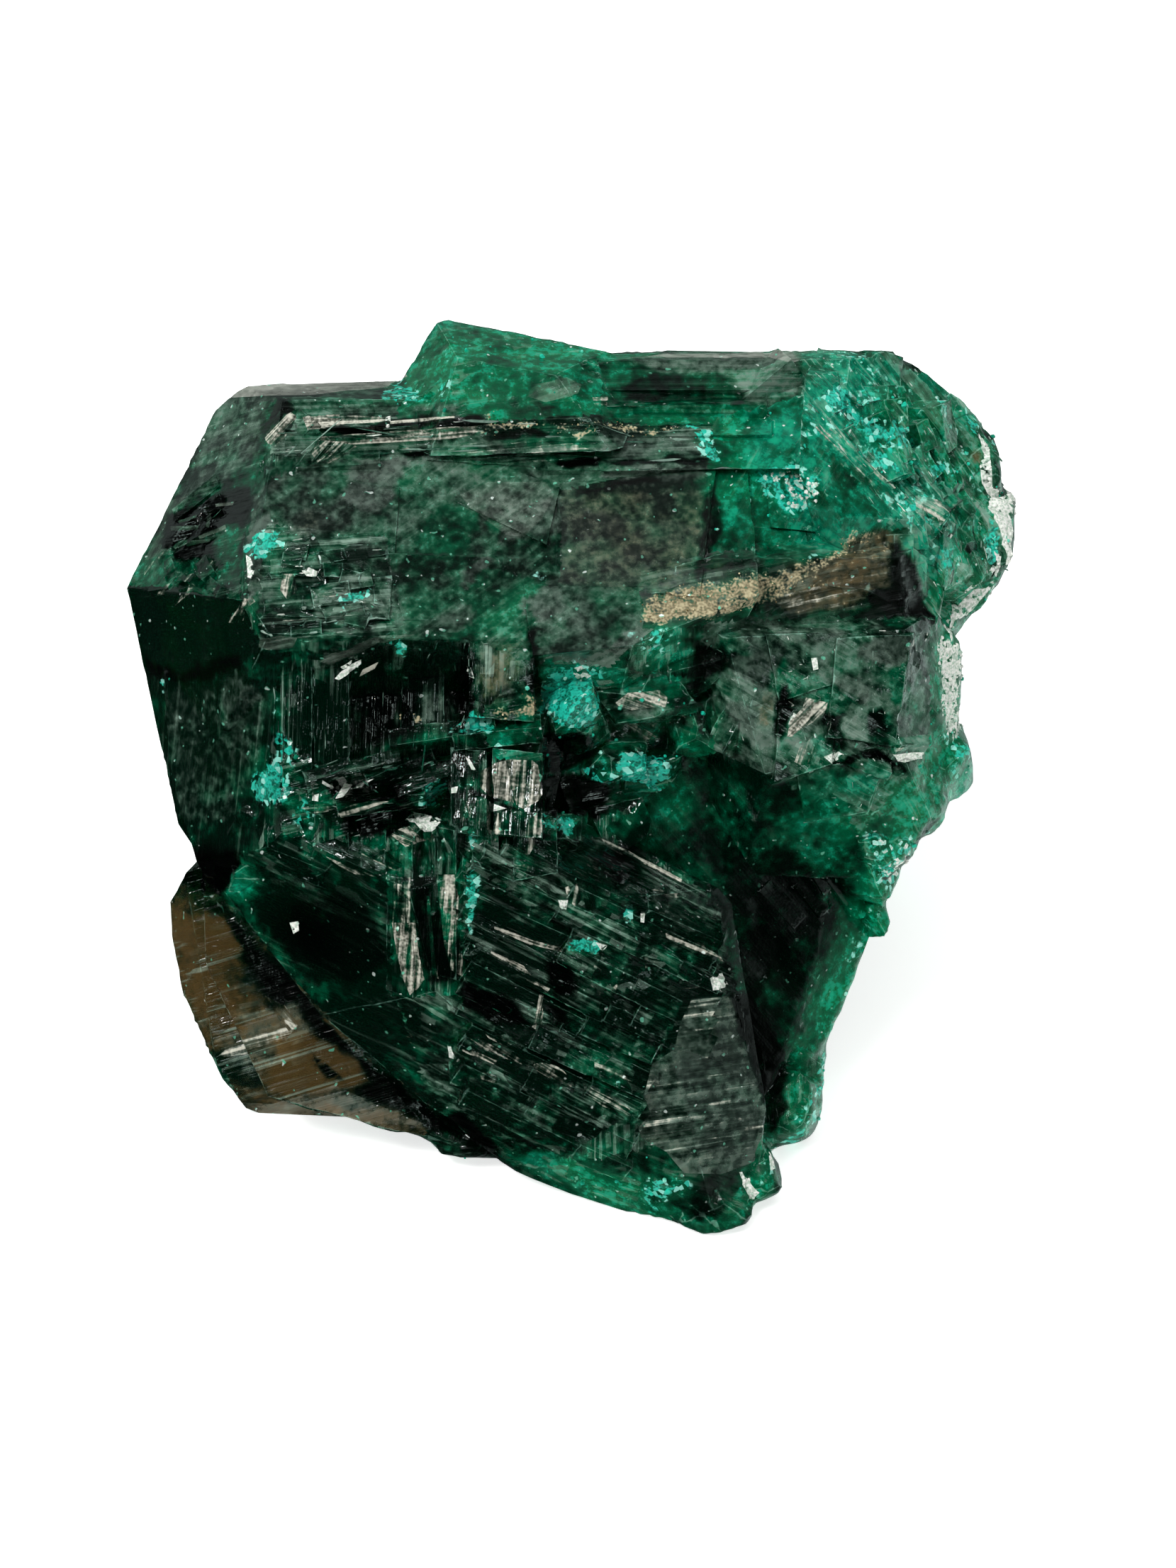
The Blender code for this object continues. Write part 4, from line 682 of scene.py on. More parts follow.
# relief is a step and a tilt for each block, with soft lumps and fine stripes along the growth
for number, (_, heading, long, wide, deep, step, tilt, rough, stripes, *look) in enumerate(zoneRows):
    chosen = zoneOf == number
    those = corners[chosen].ravel()
    here = spots[those]
    axes = turnedAxes(heading)
    drifted = here + stone["blockWarp"] * warp[those]
    values, offset = blockCells(drifted, axes, np.array([long, wide, deep]), 100 + number)
    raised = step * (values[:, 0] * 2.0 - 1.0)
    raised += tilt * ((values[:, 1] * 2.0 - 1.0) * offset[:, 1] + (values[:, 2] * 2.0 - 1.0) * offset[:, 0])
    raised += rough * layeredNoise(here, stone["lumpCell"], 200 + number)
    raised += stripes * smoothNoise((here @ axes.T) / np.array(stone["stripeCell"]), 1.0, 300 + number)
    np.add.at(relief, those, raised * stone["relief"])
    grain[chosen] = (here @ axes.T).reshape(-1, 3, 3)
    # each block of a zone is a little clearer, hazier or greener than the next: its painted glow, its haze
    # of dust and painted sheen, and its other finish values each vary
    varied = np.array(look[:6]) * (0.65 + 0.7 * values[:, [2, 1, 0, 1, 2, 0]])
    finish[chosen] = varied.reshape(-1, 3, 6)
relief /= np.maximum(np.bincount(corners.ravel(), minlength=count), 1)

# the crumbly rims at the right and below are worn round: each corner moves to the middle of its
# neighbours again and again, as far as the soft-edged places of wear allow
edges = np.concatenate([corners[:, [0, 1]], corners[:, [1, 2]], corners[:, [2, 0]]])
neighbours = np.bincount(edges[:, 0], minlength=count)
worn = blobs(spots[:, :2], wornRows)[:, None] * wear["pull"]
for _ in range(wear["rounds"]):
    ends = spots[edges[:, 1]].T
    pulled = np.stack([np.bincount(edges[:, 0], weights=end, minlength=count) for end in ends], axis=1)
    spots += worn * (pulled / neighbours[:, None] - spots)
spots += normals * worn * wear["swell"]

# the relief fades out near the table, and nothing sinks under it
height = toWorld(spots)[:, 2] * 1000.0
relief *= np.clip(height / stone["lowRelief"], 0.0, 1.0)
spots += normals * relief[:, None]
world = toWorld(spots)
world[:, 2] = np.maximum(world[:, 2], 0.0)
stoneMesh.vertices.foreach_set("co", world.ravel())
stoneMesh.update()
print("   relief on", len(zoneRows), "zones")

# soft-edged marks by name: strength, turn in degrees, middle, half sizes in pixels; the glow marks paint
# light passing through the crystal, the haze marks dust and a painted grey sheen, the rust marks stain and
# at the lower left a painted brown reflection, the white marks painted glints and glow, the dark marks
# painted shade; teal and tan are the stone's own crust and matrix
markRows = readRows("""
teal 0.7 5 600,560 60,22  teal 0.5 0 700,560 45,22  teal 0.5 10 640,520 50,25  teal 1 0 1180,565 45,24
teal 1 10 1245,610 45,22  teal 1 0 1335,662 30,14  teal 0.9 0 1250,650 15,12  teal 1 -50 975,625 22,14
teal 0.75 0 1105,690 45,38  teal 0.5 0 1120,640 30,40  teal 0.5 30 1060,620 40,25  teal 0.9 10 380,770 34,18
teal 1 30 500,845 24,9  teal 1 0 790,985 36,34  teal 0.7 0 815,950 30,18  teal 1 0 905,1080 38,22
teal 0.7 0 850,1095 30,22  teal 0.9 0 650,1020 30,20  teal 0.7 0 690,1020 22,14  teal 0.6 0 700,1050 25,14
teal 0.9 0 385,1110 28,30  teal 0.6 20 410,1060 22,30  teal 0.5 0 430,1150 35,30  teal 0.6 30 615,1110 30,22
teal 0.8 -15 790,1160 34,14  teal 0.8 0 668,1270 9,40  teal 1 0 1126,1260 11,10  teal 1 0 1382,1055 12,12
teal 1 0 885,1290 8,8  teal 0.7 0 1400,760 14,40  teal 0.6 0 1410,620 20,30  teal 0.8 10 228,960 9,30
teal 0.6 0 830,1330 28,9  teal 0.6 -8 940,1680 60,12  teal 0.6 50 1085,1640 18,30  teal 0.7 0 560,905 14,10
teal 0.5 0 570,540 40,16  teal 0.4 0 1150,790 30,16  teal 0.4 -10 760,820 34,16  teal 0.5 0 1230,1290 20,16
teal 0.5 0 1330,790 22,50  teal 0.5 0 870,570 22,9  teal 0.5 0 1190,500 50,14  teal 0.5 0 920,905 40,26
teal 0.5 -30 1290,540 26,18
glow 1 0 1090,720 130,90  glow 1 0 660,530 120,45  glow 1 0 1340,830 50,60  glow 0.8 0 1250,800 30,60
glow 0.9 0 1330,1120 50,60  glow 0.9 0 1240,1290 40,50  glow 1 -28 1195,1420 20,80  glow 0.9 0 940,915 60,40
glow 1 -20 1150,1530 22,70  glow 0.6 -12 960,1690 90,25  glow 0.8 0 330,1240 50,36  glow 0.7 0 800,510 60,30
glow 0.8 0 1240,1210 40,30  glow 0.8 0 1370,1080 16,36  glow 0.6 20 640,760 70,45
glow 0.6 14 1180,780 70,18
haze 0.75 -10 715,715 60,32  haze 0.6 0 820,890 90,40  haze 0.4 -25 285,620 50,60  haze 0.9 3 430,540 110,14
haze 0.8 0 1010,505 170,14  haze 0.7 -30 1080,545 40,32  haze 0.6 0 1220,960 80,60
haze 0.7 0 1130,1050 36,36  haze 0.5 0 1190,1120 70,30  haze 0.9 0 470,1580 120,18  haze 0.4 0 560,500 30,26
haze 0.5 0 1300,960 14,70  haze 0.6 0 700,950 34,46  haze 0.75 -8 905,1000 50,24  haze 0.15 10 250,860 70,16
haze 0.5 -50 1330,700 40,60  haze 0.6 -2 800,640 190,14  haze 0.4 0 690,480 90,18
tan 1 8 975,850 50,26  tan 0.9 20 1050,830 50,18  tan 0.8 10 930,875 30,10  tan 0.8 22 1130,800 50,8
tan 0.7 30 1190,770 40,7  tan 0.6 0 1210,765 26,8  tan 0.75 -2 900,606 110,5  tan 0.6 0 740,600 60,4
tan 0.7 0 640,600 9,26  tan 0.6 20 620,620 22,4  tan 0.4 0 760,570 40,4  tan 0.9 5 715,1003 32,6
tan 0.8 0 745,980 9,16  tan 0.8 0 820,955 12,8  tan 1 0 565,1015 6,8  tan 1 0 592,1012 6,10
tan 0.7 0 1320,880 14,8  tan 0.5 0 1300,600 16,16  tan 0.5 0 1290,650 12,10
rust 0.9 25 290,1400 50,110  rust 1 -40 430,1490 60,36  rust 0.8 12 1180,825 80,34  rust 0.5 0 893,760 90,70
rust 0.25 0 985,1580 60,60  rust 0.4 0 430,740 30,30  rust 0.3 0 1000,1690 36,18  rust 0.5 0 700,960 30,40
white 1 -10 1428,700 12,60  white 1 0 1345,930 12,70  white 0.9 0 1350,1010 14,34
white 0.8 20 1265,1215 32,26  white 0.5 0 1375,1060 10,20  white 0.5 -8 905,990 44,13
white 0.6 30 1115,1015 20,12  white 0.6 40 1400,830 22,20  white 0.5 0 1420,640 10,16
white 0.5 40 1100,1640 10,22
dark 1 0 800,1125 34,20  dark 0.9 0 880,1220 34,24  dark 1 0 655,955 12,50  dark 1 0 1265,845 34,14
dark 0.9 0 455,1505 15,14  dark 1 0 290,1225 40,26  dark 0.9 37 390,1400 16,120  dark 0.9 50 520,1540 14,70
dark 0.5 0 600,960 40,50  dark 0.6 0 540,960 30,50  dark 0.6 0 1100,1300 90,110  dark 0.6 0 430,1320 60,60
dark 0.5 10 270,760 50,40  dark 0.8 40 330,1310 22,50  dark 0.4 0 740,1100 8,30  dark 0.7 10 580,1080 50,12
dark 0.5 0 470,1100 40,16  dark 0.7 0 700,1625 70,16
""")


# the mesh keeps the values under a name, one for each of its corners
def addValues(mesh, name, values, domain="POINT", kind="FLOAT", field="value"):
    mesh.attributes.new(name, kind, domain).data.foreach_set(field, values.ravel())


# the finish at each triangle's corners, by name: the larger of the marks and the zones, then changed toward
# each traced face's own levels by its strength and its soft edge
marked = {name: np.zeros((len(corners), 3)) for name in ("pearl", "pale")}
for name in ("teal", "glow", "haze", "tan", "rust", "white", "dark"):
    rows = [row for row in markRows if row[0] == name]
    marked[name] = (blobs(places + stone["blockWarp"] * fine, rows) * front)[corners]
zoneFinish = np.moveaxis(finish, 2, 0)
for name, values in zip(("glow", "haze", "rust"), zoneFinish):
    marked[name] = np.maximum(values, marked[name])
ragged = places + stone["outlineWarp"] * fine
for kind, strength, heading, *outline in faceRows:
    soft, levels = kinds[kind]
    outline = px(*outline)
    if soft:
        close = (ragged > outline.min(axis=0) - soft) & (ragged < outline.max(axis=0) + soft)
        near = np.flatnonzero(close.all(axis=1))
        share = np.zeros(count)
        share[near] = np.clip(outlineDepth(ragged[near], outline) / soft + 0.5, 0.0, 1.0)
        share = share[corners] * (facing[:, 2:] > 0.0)
    else:
        share = (inside(flat, outline) & (facing[:, 2] > 0.0))[:, None] * np.ones(3)
    chosen = share.max(axis=1) > 0.0
    share = share[chosen] * strength
    # the zone's own glow, haze and rust stay where the kind doesn't name them: its painted glow, its dust
    # and painted sheen, its rust and painted brown reflection
    for name, values in marked.items():
        if name in levels or name not in ("glow", "haze", "rust"):
            values[chosen] += share * (levels.get(name, 0.0) - values[chosen])
    if not soft:
        grain[chosen] = spots[corners[chosen]] @ turnedAxes(heading).T
# painted shade wipes out the other marks where it lies
for name, values in marked.items():
    if name != "dark":
        values *= 1.0 - marked["dark"]
marked.update(zip(("dull", "striae", "facet"), zoneFinish[3:]))
# the sharp outer and inner edges, which carry a painted highlight and painted shade along them
marked.update(ridge=ridge[corners], crease=crease[corners])
for name, values in marked.items():
    addValues(stoneMesh, name, np.clip(values, 0.0, 1.0), "CORNER")
addValues(stoneMesh, "grain", grain * 0.001, "CORNER", "FLOAT_VECTOR", "vector")
addValues(stoneMesh, "wobble", wobble, "POINT", "FLOAT_VECTOR", "vector")


# one material's chain of colour and number nodes; scales of patterns are cells a metre
class Wiring:
    def __init__(self, name):
        self.material = bpy.data.materials.new(name)
        self.material.use_nodes = True
        self.tree = self.material.node_tree
        self.shader = self.tree.nodes["Principled BSDF"]
        self.output = self.tree.nodes["Material Output"]
        self.coords = self.add("ShaderNodeTexCoord").outputs["Object"]

    def add(self, kind, settings=None, **sockets):
        return addNode(self.tree, kind, settings, **sockets)

    # the values that the mesh keeps under a name
    def read(self, name, output="Fac"):
        return self.add("ShaderNodeAttribute", {"attribute_name": name}).outputs[output]

    # smooth random values near a half, with detail finer layers
    def noise(self, scale, detail=0.0, vector=None):
        place = self.coords if vector is None else vector
        made = self.add("ShaderNodeTexNoise", Vector=place, Scale=scale, Detail=detail, Roughness=0.62)
        return made.outputs[0]

    # start + the sum of each value times its amount
    def total(self, start, *pairs):
        value = start
        for socket, amount in pairs:
            value = addMath(self.tree, "MULTIPLY_ADD", socket, amount, value)
        return value

    # 0 below low, 1 above high, eased between
    def ease(self, value, low, high):
        settings = {"interpolation_type": "SMOOTHSTEP"}
        made = self.add("ShaderNodeMapRange", settings, Value=value, From_Min=low, From_Max=high)
        return made.outputs["Result"]

    # total, eased from low to high
    def mask(self, low, high, start, *pairs):
        return self.ease(self.total(start, *pairs), low, high)

    def clamp(self, value, low=0.0, high=1.0):
        return self.add("ShaderNodeClamp", Value=value, Min=low, Max=high).outputs[0]

    # below times one less the factor, and the colour times the factor
    def layer(self, below, text, factor):
        above = linearColor(text) if isinstance(text, str) else text
        start = linearColor(below) if isinstance(below, str) else below
        return self.add("ShaderNodeMix", {"data_type": "RGBA"}, i0=factor, i6=start, i7=above).outputs[2]

    # the surface's own settings, each a value or a link
    def set(self, **sockets):
        plug(self.tree, self.shader, sockets)

    # a normal tilted by the slope of the height times distance, over the tilt of the bump below
    def bump(self, height, strength, distance, below=None):
        sockets = {"Height": height, "Strength": strength, "Distance": distance}
        if below is not None:
            sockets["Normal"] = below
        return self.add("ShaderNodeBump", **sockets).outputs[0]


# Cleaved and broken mineral glass: clear deep green inside, its faces striated by growth, hazed by dust and
# fine pits, crusted blue-green in the hollows and stained brown in places; over this lie a painted green
# glow, painted sheen, grey reflections, glints and edge highlights, a painted brown reflection at the lower
# left, and painted shade.
def dioptaseMaterial():
    w = Wiring("dioptase")
    grainAt = w.read("grain", "Vector")
    cloud = w.noise(420.0, 2.0)
    veins = w.noise(1300.0, 2.0)
    speckle = w.noise(5200.0, 2.0)
    grit = w.noise(18000.0)
    wobble = w.read("wobble", "Vector")

    def vector(operation, first, second=(0.0, 0.0, 0.0), output="Vector"):
        return w.add("ShaderNodeVectorMath", {"operation": operation}, i0=first, i1=second).outputs[output]

    # the place along, across and out of the growth, times a scale for each
    def along(x, y, z):
        return w.add("ShaderNodeMapping", Vector=grainAt, Scale=(x, y, z)).outputs[0]

    def product(first, *others):
        for value in others:
            first = addMath(w.tree, "MULTIPLY", first, value)
        return first

    # long blocks laid like bricks along the growth, each row shifted by chance: the tone of each, and its
    # height, which is the offset from its middle times a random lean
    def bricks(x, y, z, wobbling):
        place = vector("ADD", along(x, y, z), vector("MULTIPLY", wobble, (wobbling,) * 3))
        row = vector("MULTIPLY", vector("FLOOR", place), (0.0, 1.0, 1.0))
        shift = w.add("ShaderNodeTexWhiteNoise", Vector=row).outputs["Color"]
        place = vector("ADD", place, vector("MULTIPLY", shift, (7.0, 0.0, 0.0)))
        cell = w.add("ShaderNodeTexWhiteNoise", Vector=vector("FLOOR", place))
        inner = vector("SUBTRACT", vector("FRACTION", place), (0.5, 0.5, 0.5))
        lean = vector("SUBTRACT", cell.outputs["Color"], (0.5, 0.5, 0.5))
        return cell.outputs["Value"], vector("DOT_PRODUCT", inner, lean, "Value")

    streak = w.noise(1.0, 2.0, along(110.0, 10000.0, 1500.0))
    band = w.noise(1.0, 1.0, along(140.0, 2600.0, 900.0))
    crack = w.noise(1.0, 1.0, along(9000.0, 700.0, 1500.0))
    broadTone, broadHeight = bricks(900.0, 2900.0, 2000.0, 1.3)
    smallTone, smallHeight = bricks(3000.0, 8500.0, 6000.0, 2.5)
    crumbs = w.add("ShaderNodeTexVoronoi", {"feature": "F1"}, Vector=w.coords, Scale=8500.0)
    crumb = w.add("ShaderNodeSeparateColor", Color=crumbs.outputs["Color"]).outputs[0]
    # painted glint specks scattered over the stone
    paintedGlintSpecks = w.ease(w.noise(7500.0), 0.78, 0.83)

    striae = w.read("striae")
    facet = w.read("facet")
    # painted shade: dark faces and gaps where shadow falls or nothing bright is mirrored; lit is where none
    # is painted
    dark = w.read("dark")
    lit = w.total(1.0, (dark, -1.0))
    lines = w.mask(0.0, 0.10, -0.56, (streak, 1.0), (striae, 0.05))
    patches = w.mask(0.0, 0.12, -0.52, (band, 1.0))

    lean = product(w.total(-0.5, (streak, 1.0)), striae)
    blockTone = product(broadTone, facet)
    # green: lighter where glow is painted, standing for light passing through thin parts and scattering in
    # the crystal, with random cloudy tone
    green = w.total(
        -2.1, (w.read("glow"), 1.35), (cloud, 1.2), (veins, 1.5), (speckle, 0.7), (lean, 0.9),
        (blockTone, 0.3),
    )
    green = w.clamp(green, 0.0, 1.6)
    # grey haze: dust and fine pits, and a painted grey sheen where faces mirror the room and the table
    haze = w.mask(
        0.1, 1.1, -1.55, (w.read("haze"), 1.3), (cloud, 0.8), (lean, 1.5), (speckle, 1.4), (blockTone, 0.4)
    )
    # rust and iron stain in the seams, and at the lower left a painted brown reflection of a surface below
    rust = w.mask(0.2, 1.0, -0.95, (w.read("rust"), 1.1), (speckle, 0.8), (cloud, 1.0))
    teal = w.mask(0.3, 0.5, -1.75, (w.read("teal"), 1.1), (crumb, 0.6), (cloud, 1.5), (speckle, 0.8))
    tan = w.mask(0.2, 0.65, -1.5, (w.read("tan"), 1.1), (speckle, 1.3), (grit, 0.9))
    # painted white light: glints on small facets, and the glow of light through the thin right edges
    white = w.mask(0.3, 0.5, -1.05, (w.read("white"), 1.1), (crumb, 0.5), (speckle, 0.9))
    # painted sheen: pale bars with fine darker lines, standing for light mirrored by the striated faces
    pearl = w.mask(
        0.0, 0.4, -2.6, (w.read("pearl"), 1.15), (streak, 1.5), (band, 1.1), (crack, 0.4),
        (smallTone, 0.25), (speckle, 0.4),
    )
    # painted grey reflection on faces at a slant to the light, such as the grazing top strips and faces
    # turned down to the table
    pale = w.mask(0.0, 1.0, -0.45, (w.read("pale"), 1.0), (speckle, 0.3), (streak, 0.3))
    # painted glints: bright flakes, slabs and striae lines standing for light caught by small facets, kept
    # out of the painted shade
    flake = product(w.ease(smallTone, 0.86, 0.88), facet, w.ease(cloud, 0.45, 0.6))
    slab = product(w.ease(broadTone, 0.8, 0.82), facet, w.ease(streak, 0.45, 0.6))
    lines = product(lines, patches, striae)
    paintedGlints = product(w.total(0.0, (lines, 0.5), (flake, 0.5), (slab, 0.3)), lit)
    # painted highlight along the sharp outer edges, kept out of the painted shade
    edge = w.mask(0.72, 1.0, -0.5, (w.read("ridge"), 1.0), (speckle, 0.6), (crack, 0.4))
    edge = product(w.ease(facet, 0.1, 0.5), lit, edge)
    # painted shade in the sharp inner edges
    inner = w.mask(0.6, 0.95, -0.25, (w.read("crease"), 1.0), (speckle, 0.5))
    inner = product(inner, w.ease(facet, 0.1, 0.6))

    # colours laid over each other in turn, each by its own mask
    vivid = w.layer("#0eb08c", "#009c5e", w.ease(w.noise(260.0), 0.44, 0.56))
    crust = w.layer("#06705a", "#25cdb2", w.mask(0.3, 0.6, 0.0, (grit, 0.6), (crumb, 0.4)))
    crust = w.layer(crust, "#9cf0de", w.ease(crumb, 0.86, 0.9))
    clay = w.layer("#6e6349", "#c4b894", w.mask(0.38, 0.70, 0.0, (speckle, 0.6), (grit, 0.4)))
    sheen = w.mask(0.42, 0.64, 0.0, (streak, 0.6), (crack, 0.2), (grit, 0.2))
    # the deep green body, lighter and more vivid where the glow is painted
    color = w.layer("#004a32", "#00875a", w.ease(green, 0.0, 0.7))
    for above, factor in (
        (vivid, w.ease(green, 0.5, 1.3)),
        ("#18cc9c", w.mask(0.75, 1.2, -0.45, (green, 0.5), (speckle, 1.2), (grit, 0.5))),
        # grey haze of dust, partly a painted sheen
        ("#7c9485", haze),
        # rust stain, and the painted brown reflection at the lower left
        ("#7a6238", rust),
        # painted glints
        ("#a2c0ae", paintedGlints),
        # painted highlight along the sharp outer edges
        ("#9fd2bf", product(edge, w.total(0.25, (speckle, 0.4)))),
        # painted grey reflection
        ("#a3a49c", pale),
        (crust, teal),
        (clay, tan),
        # painted sheen of the striated faces, grey-cream along the streaks
        (w.layer("#4a5044", "#e3e0d0", sheen), pearl),
        # painted white glints and the painted glow of the thin edges
        (w.layer("#c4d4c4", "#fafaf4", w.ease(grit, 0.35, 0.6)), white),
        # painted glint specks, kept out of the painted shade
        (w.layer("#6fc4a4", "#f2fff8", w.ease(crumb, 0.7, 0.75)), product(paintedGlintSpecks, lit)),
        # painted shade from the dark marks and in the sharp inner edges
        ("#000a06", w.clamp(w.total(0.0, (dark, 0.85), (inner, 0.5)))),
    ):
        color = w.layer(color, above, factor)
    clear = w.total(
        0.93, (green, -0.38), (haze, -0.27), (rust, -0.25), (paintedGlints, -0.3), (pearl, -0.55), (pale, -0.5),
        (teal, -0.5), (tan, -0.8), (white, -0.8), (paintedGlintSpecks, -0.3), (edge, -0.25), (dark, 0.07),
    )
    rough = w.total(
        0.02, (w.read("dull"), 0.8), (teal, 0.2), (tan, 0.5), (white, 0.3), (haze, 0.15), (pale, 0.2)
    )
    w.set(Base_Color=color, Transmission_Weight=w.clamp(clear), Roughness=w.clamp(rough))
    w.set(IOR=1.66, Specular_IOR_Level=0.36)
    broadBump = w.bump(broadHeight, w.total(0.0, (facet, 0.7)), 0.00018)
    smallBump = w.bump(smallHeight, w.total(0.02, (facet, 0.6)), 0.00008, broadBump)
    striaeBump = w.bump(streak, w.total(0.0, (striae, 0.8)), 0.00005, smallBump)
    w.set(Normal=w.bump(grit, w.total(0.12, (teal, 0.5), (tan, 0.5), (white, 0.4)), 0.00002, striaeBump))
    absorb = w.add("ShaderNodeVolumeAbsorption", Color=(0.0, 0.90, 0.83, 1.0), Density=2500.0)
    w.tree.links.new(absorb.outputs[0], w.output.inputs["Volume"])
    return w.material


stoneMesh.materials.clear()
stoneMesh.materials.append(dioptaseMaterial())
stoneMesh.polygons.foreach_set("use_smooth", np.ones(len(stoneMesh.polygons), bool))
stoneMesh.set_sharp_from_angle(angle=math.radians(stone["smoothAngle"]))
stoneObject = bpy.data.objects.new("crystal_chunk", stoneMesh)
bpy.context.scene.collection.objects.link(stoneObject)
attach(stoneObject, "root")
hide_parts("dioptase_cluster")
print("stone made")

# random places over the whole surface, a hundred a square millimetre; few are kept
spots = toViewer(world)
cross = np.cross(spots[corners[:, 1]] - spots[corners[:, 0]], spots[corners[:, 2]] - spots[corners[:, 0]])
area = np.linalg.norm(cross, axis=1) * 0.5
dice = np.random.default_rng(41)
samplesPerArea = 100.0
sampleCount = int(area.sum() * samplesPerArea)
triangle = np.searchsorted(np.cumsum(area), dice.random(sampleCount) * area.sum())
triangle = np.minimum(triangle, len(area) - 1)
shares = np.sort(dice.random((sampleCount, 2)), axis=1)
shares = np.stack([shares[:, 0], shares[:, 1] - shares[:, 0], 1.0 - shares[:, 1]], axis=1)
chosenCorners = corners[triangle]
samplePlace = (spots[chosenCorners] * shares[:, :, None]).sum(axis=1)
sampleNormal = (normals[chosenCorners] * shares[:, :, None]).sum(axis=1)
sampleNormal /= np.linalg.norm(sampleNormal, axis=1)[:, None]
sampleZone = zoneOf[triangle]
sampleMark = {name: values[triangle, 0] for name, values in marked.items()}
touching = 0.00005
onTable = world[chosenCorners[:, 0], 2] < touching
print("   area", round(area.sum()), "mm2, samples", sampleCount)


# frames of three axes at samples: along the heading on the surface, turned by spread; across; out
def framesAt(normal, heading, spread, lean):
    turn = np.radians(heading + spread * dice.normal(size=len(normal)))
    along = np.stack([np.cos(turn), np.sin(turn), np.zeros(len(turn))], axis=1)
    out = normal + lean * dice.normal(size=normal.shape)
    out /= np.linalg.norm(out, axis=1)[:, None]
    along -= (along * out).sum(axis=1)[:, None] * out
    along /= np.linalg.norm(along, axis=1)[:, None] + 1e-9
    return np.stack([along, np.cross(out, along), out], axis=1)


# copies of one closed shape: each template corner times the copy's size, turned by its frame, at its place
def copyShape(name, template, faces, place, frames, size, tone, material, jitter=0.0):
    shapes = template[None] * size[:, None, :]
    shapes = shapes * (1.0 + jitter * (dice.random(shapes.shape) - 0.5))
    vertices = toWorld((np.einsum("mni,mij->mnj", shapes, frames) + place[:, None, :]).reshape(-1, 3))
    first = np.arange(len(place))[:, None, None] * len(template)
    polygons = []
    for group in faces:
        polygons += (first + np.array(group)[None]).reshape(-1, len(group[0])).tolist()
    made = makeObject(name, vertices.tolist(), polygons, material)
    addValues(made.data, "tone", np.repeat(tone, len(template)))
    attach(made, "root")
    print("   ", name, len(place), "copies,", len(polygons), "faces")


# a sliver: a low roof along its length, pointed at both ends, its foot sunk in the stone
sliverShape = np.array([
    [-1.0, 0.0, -0.6], [-0.7, -0.5, -1.0], [-0.7, 0.15, 1.0], [-0.7, 0.5, -1.0],
    [0.7, -0.5, -1.0], [0.7, 0.15, 1.0], [0.7, 0.5, -1.0], [1.0, 0.0, -0.6],
])
sliverFaces = [
    [[1, 4, 5, 2], [2, 5, 6, 3], [3, 6, 4, 1]],
    [[0, 1, 2], [0, 2, 3], [0, 3, 1], [7, 5, 4], [7, 6, 5], [7, 4, 6]],
]


# small crystals: each one's own tone takes the colour from dark to light, and to the palest past a limit
def crystalMaterial(name, scale, colors, limits, rough):
    w = Wiring(name)
    speckle = w.noise(scale, 3.0)
    tone = w.total(-0.25, (w.read("tone"), 1.0), (speckle, 0.5))
    color = w.layer(colors[0], colors[1], w.ease(tone, 0.0, limits[0]))
    color = w.layer(color, colors[2], w.ease(tone, limits[1], 1.0))
    w.set(Base_Color=color, Roughness=w.total(rough, (speckle, 0.3)), IOR=1.66, Transmission_Weight=0.0)
    w.set(Normal=w.bump(speckle, 0.3, 0.00001))
    return w.material


# dull crumbs: a colour between two by each one's own tone
def crumbMaterial(name, scale, colors, limit, rough):
    w = Wiring(name)
    grit = w.noise(scale, 3.0)
    color = w.layer(*colors, w.mask(0.0, limit, -0.3, (w.read("tone"), 1.0), (grit, 0.6)))
    w.set(Base_Color=color, Roughness=rough, Normal=w.bump(grit, 0.4, 0.00002))
    return w.material


# Cleavage slivers: thin growth steps, their pale tones a painted sheen for the light their broken edges
# throw back.
paintedSheenColors = ("#0a4a36", "#8aa698", "#f2f5ea")
sliverMaterial = crystalMaterial("dioptase_cleavage", 9000.0, paintedSheenColors, (0.55, 0.55), 0.12)
# Druse: small blue-green crystals grown in the hollows, their faces sparkling, their palest tone a painted
# glow as if lit from inside.
blueGreen = ("#067a5c", "#1fcbaa", "#a8f2de")
druseMaterial = crystalMaterial("dioptase_druse", 7000.0, blueGreen, (0.6, 0.65), 0.1)
# Matrix crumbs: dull tan clay and quartz dust lodged in the seams between the crystals.
matrixMaterial = crumbMaterial("tan_matrix", 9000.0, ("#6f6040", "#d2c49c"), 0.9, 0.75)
# White crumbs: crushed crystal along the thin edges, their white a painted glint and a painted glow of
# light through the thin edges.
paintedGlintCrumbMaterial = crumbMaterial("painted_glint_crumbs", 8000.0, ("#9fc7b2", "#fbfbf4"), 0.7, 0.35)

# slivers: zone, how many a square millimetre, length and width from and to in millimetres, spread of their
# headings in degrees, tone from and to
sliverRows = [
    ("topBands", 1.5, (0.5, 2.2), (0.03, 0.07), 1.0, 0.1, 0.8),
    ("blocky", 3.0, (0.12, 0.4), (0.03, 0.07), 6.0, 0.1, 0.9),
    ("middle", 1.0, (0.2, 1.0), (0.02, 0.04), 2.0, 0.0, 0.5),
    ("shelves", 2.0, (0.2, 0.6), (0.03, 0.06), 8.0, 0.0, 0.8),
    ("slope", 3.0, (0.10, 0.4), (0.02, 0.05), 12.0, 0.2, 1.0),
    ("block", 2.5, (0.06, 0.2), (0.02, 0.04), 60.0, 0.2, 1.0),
]


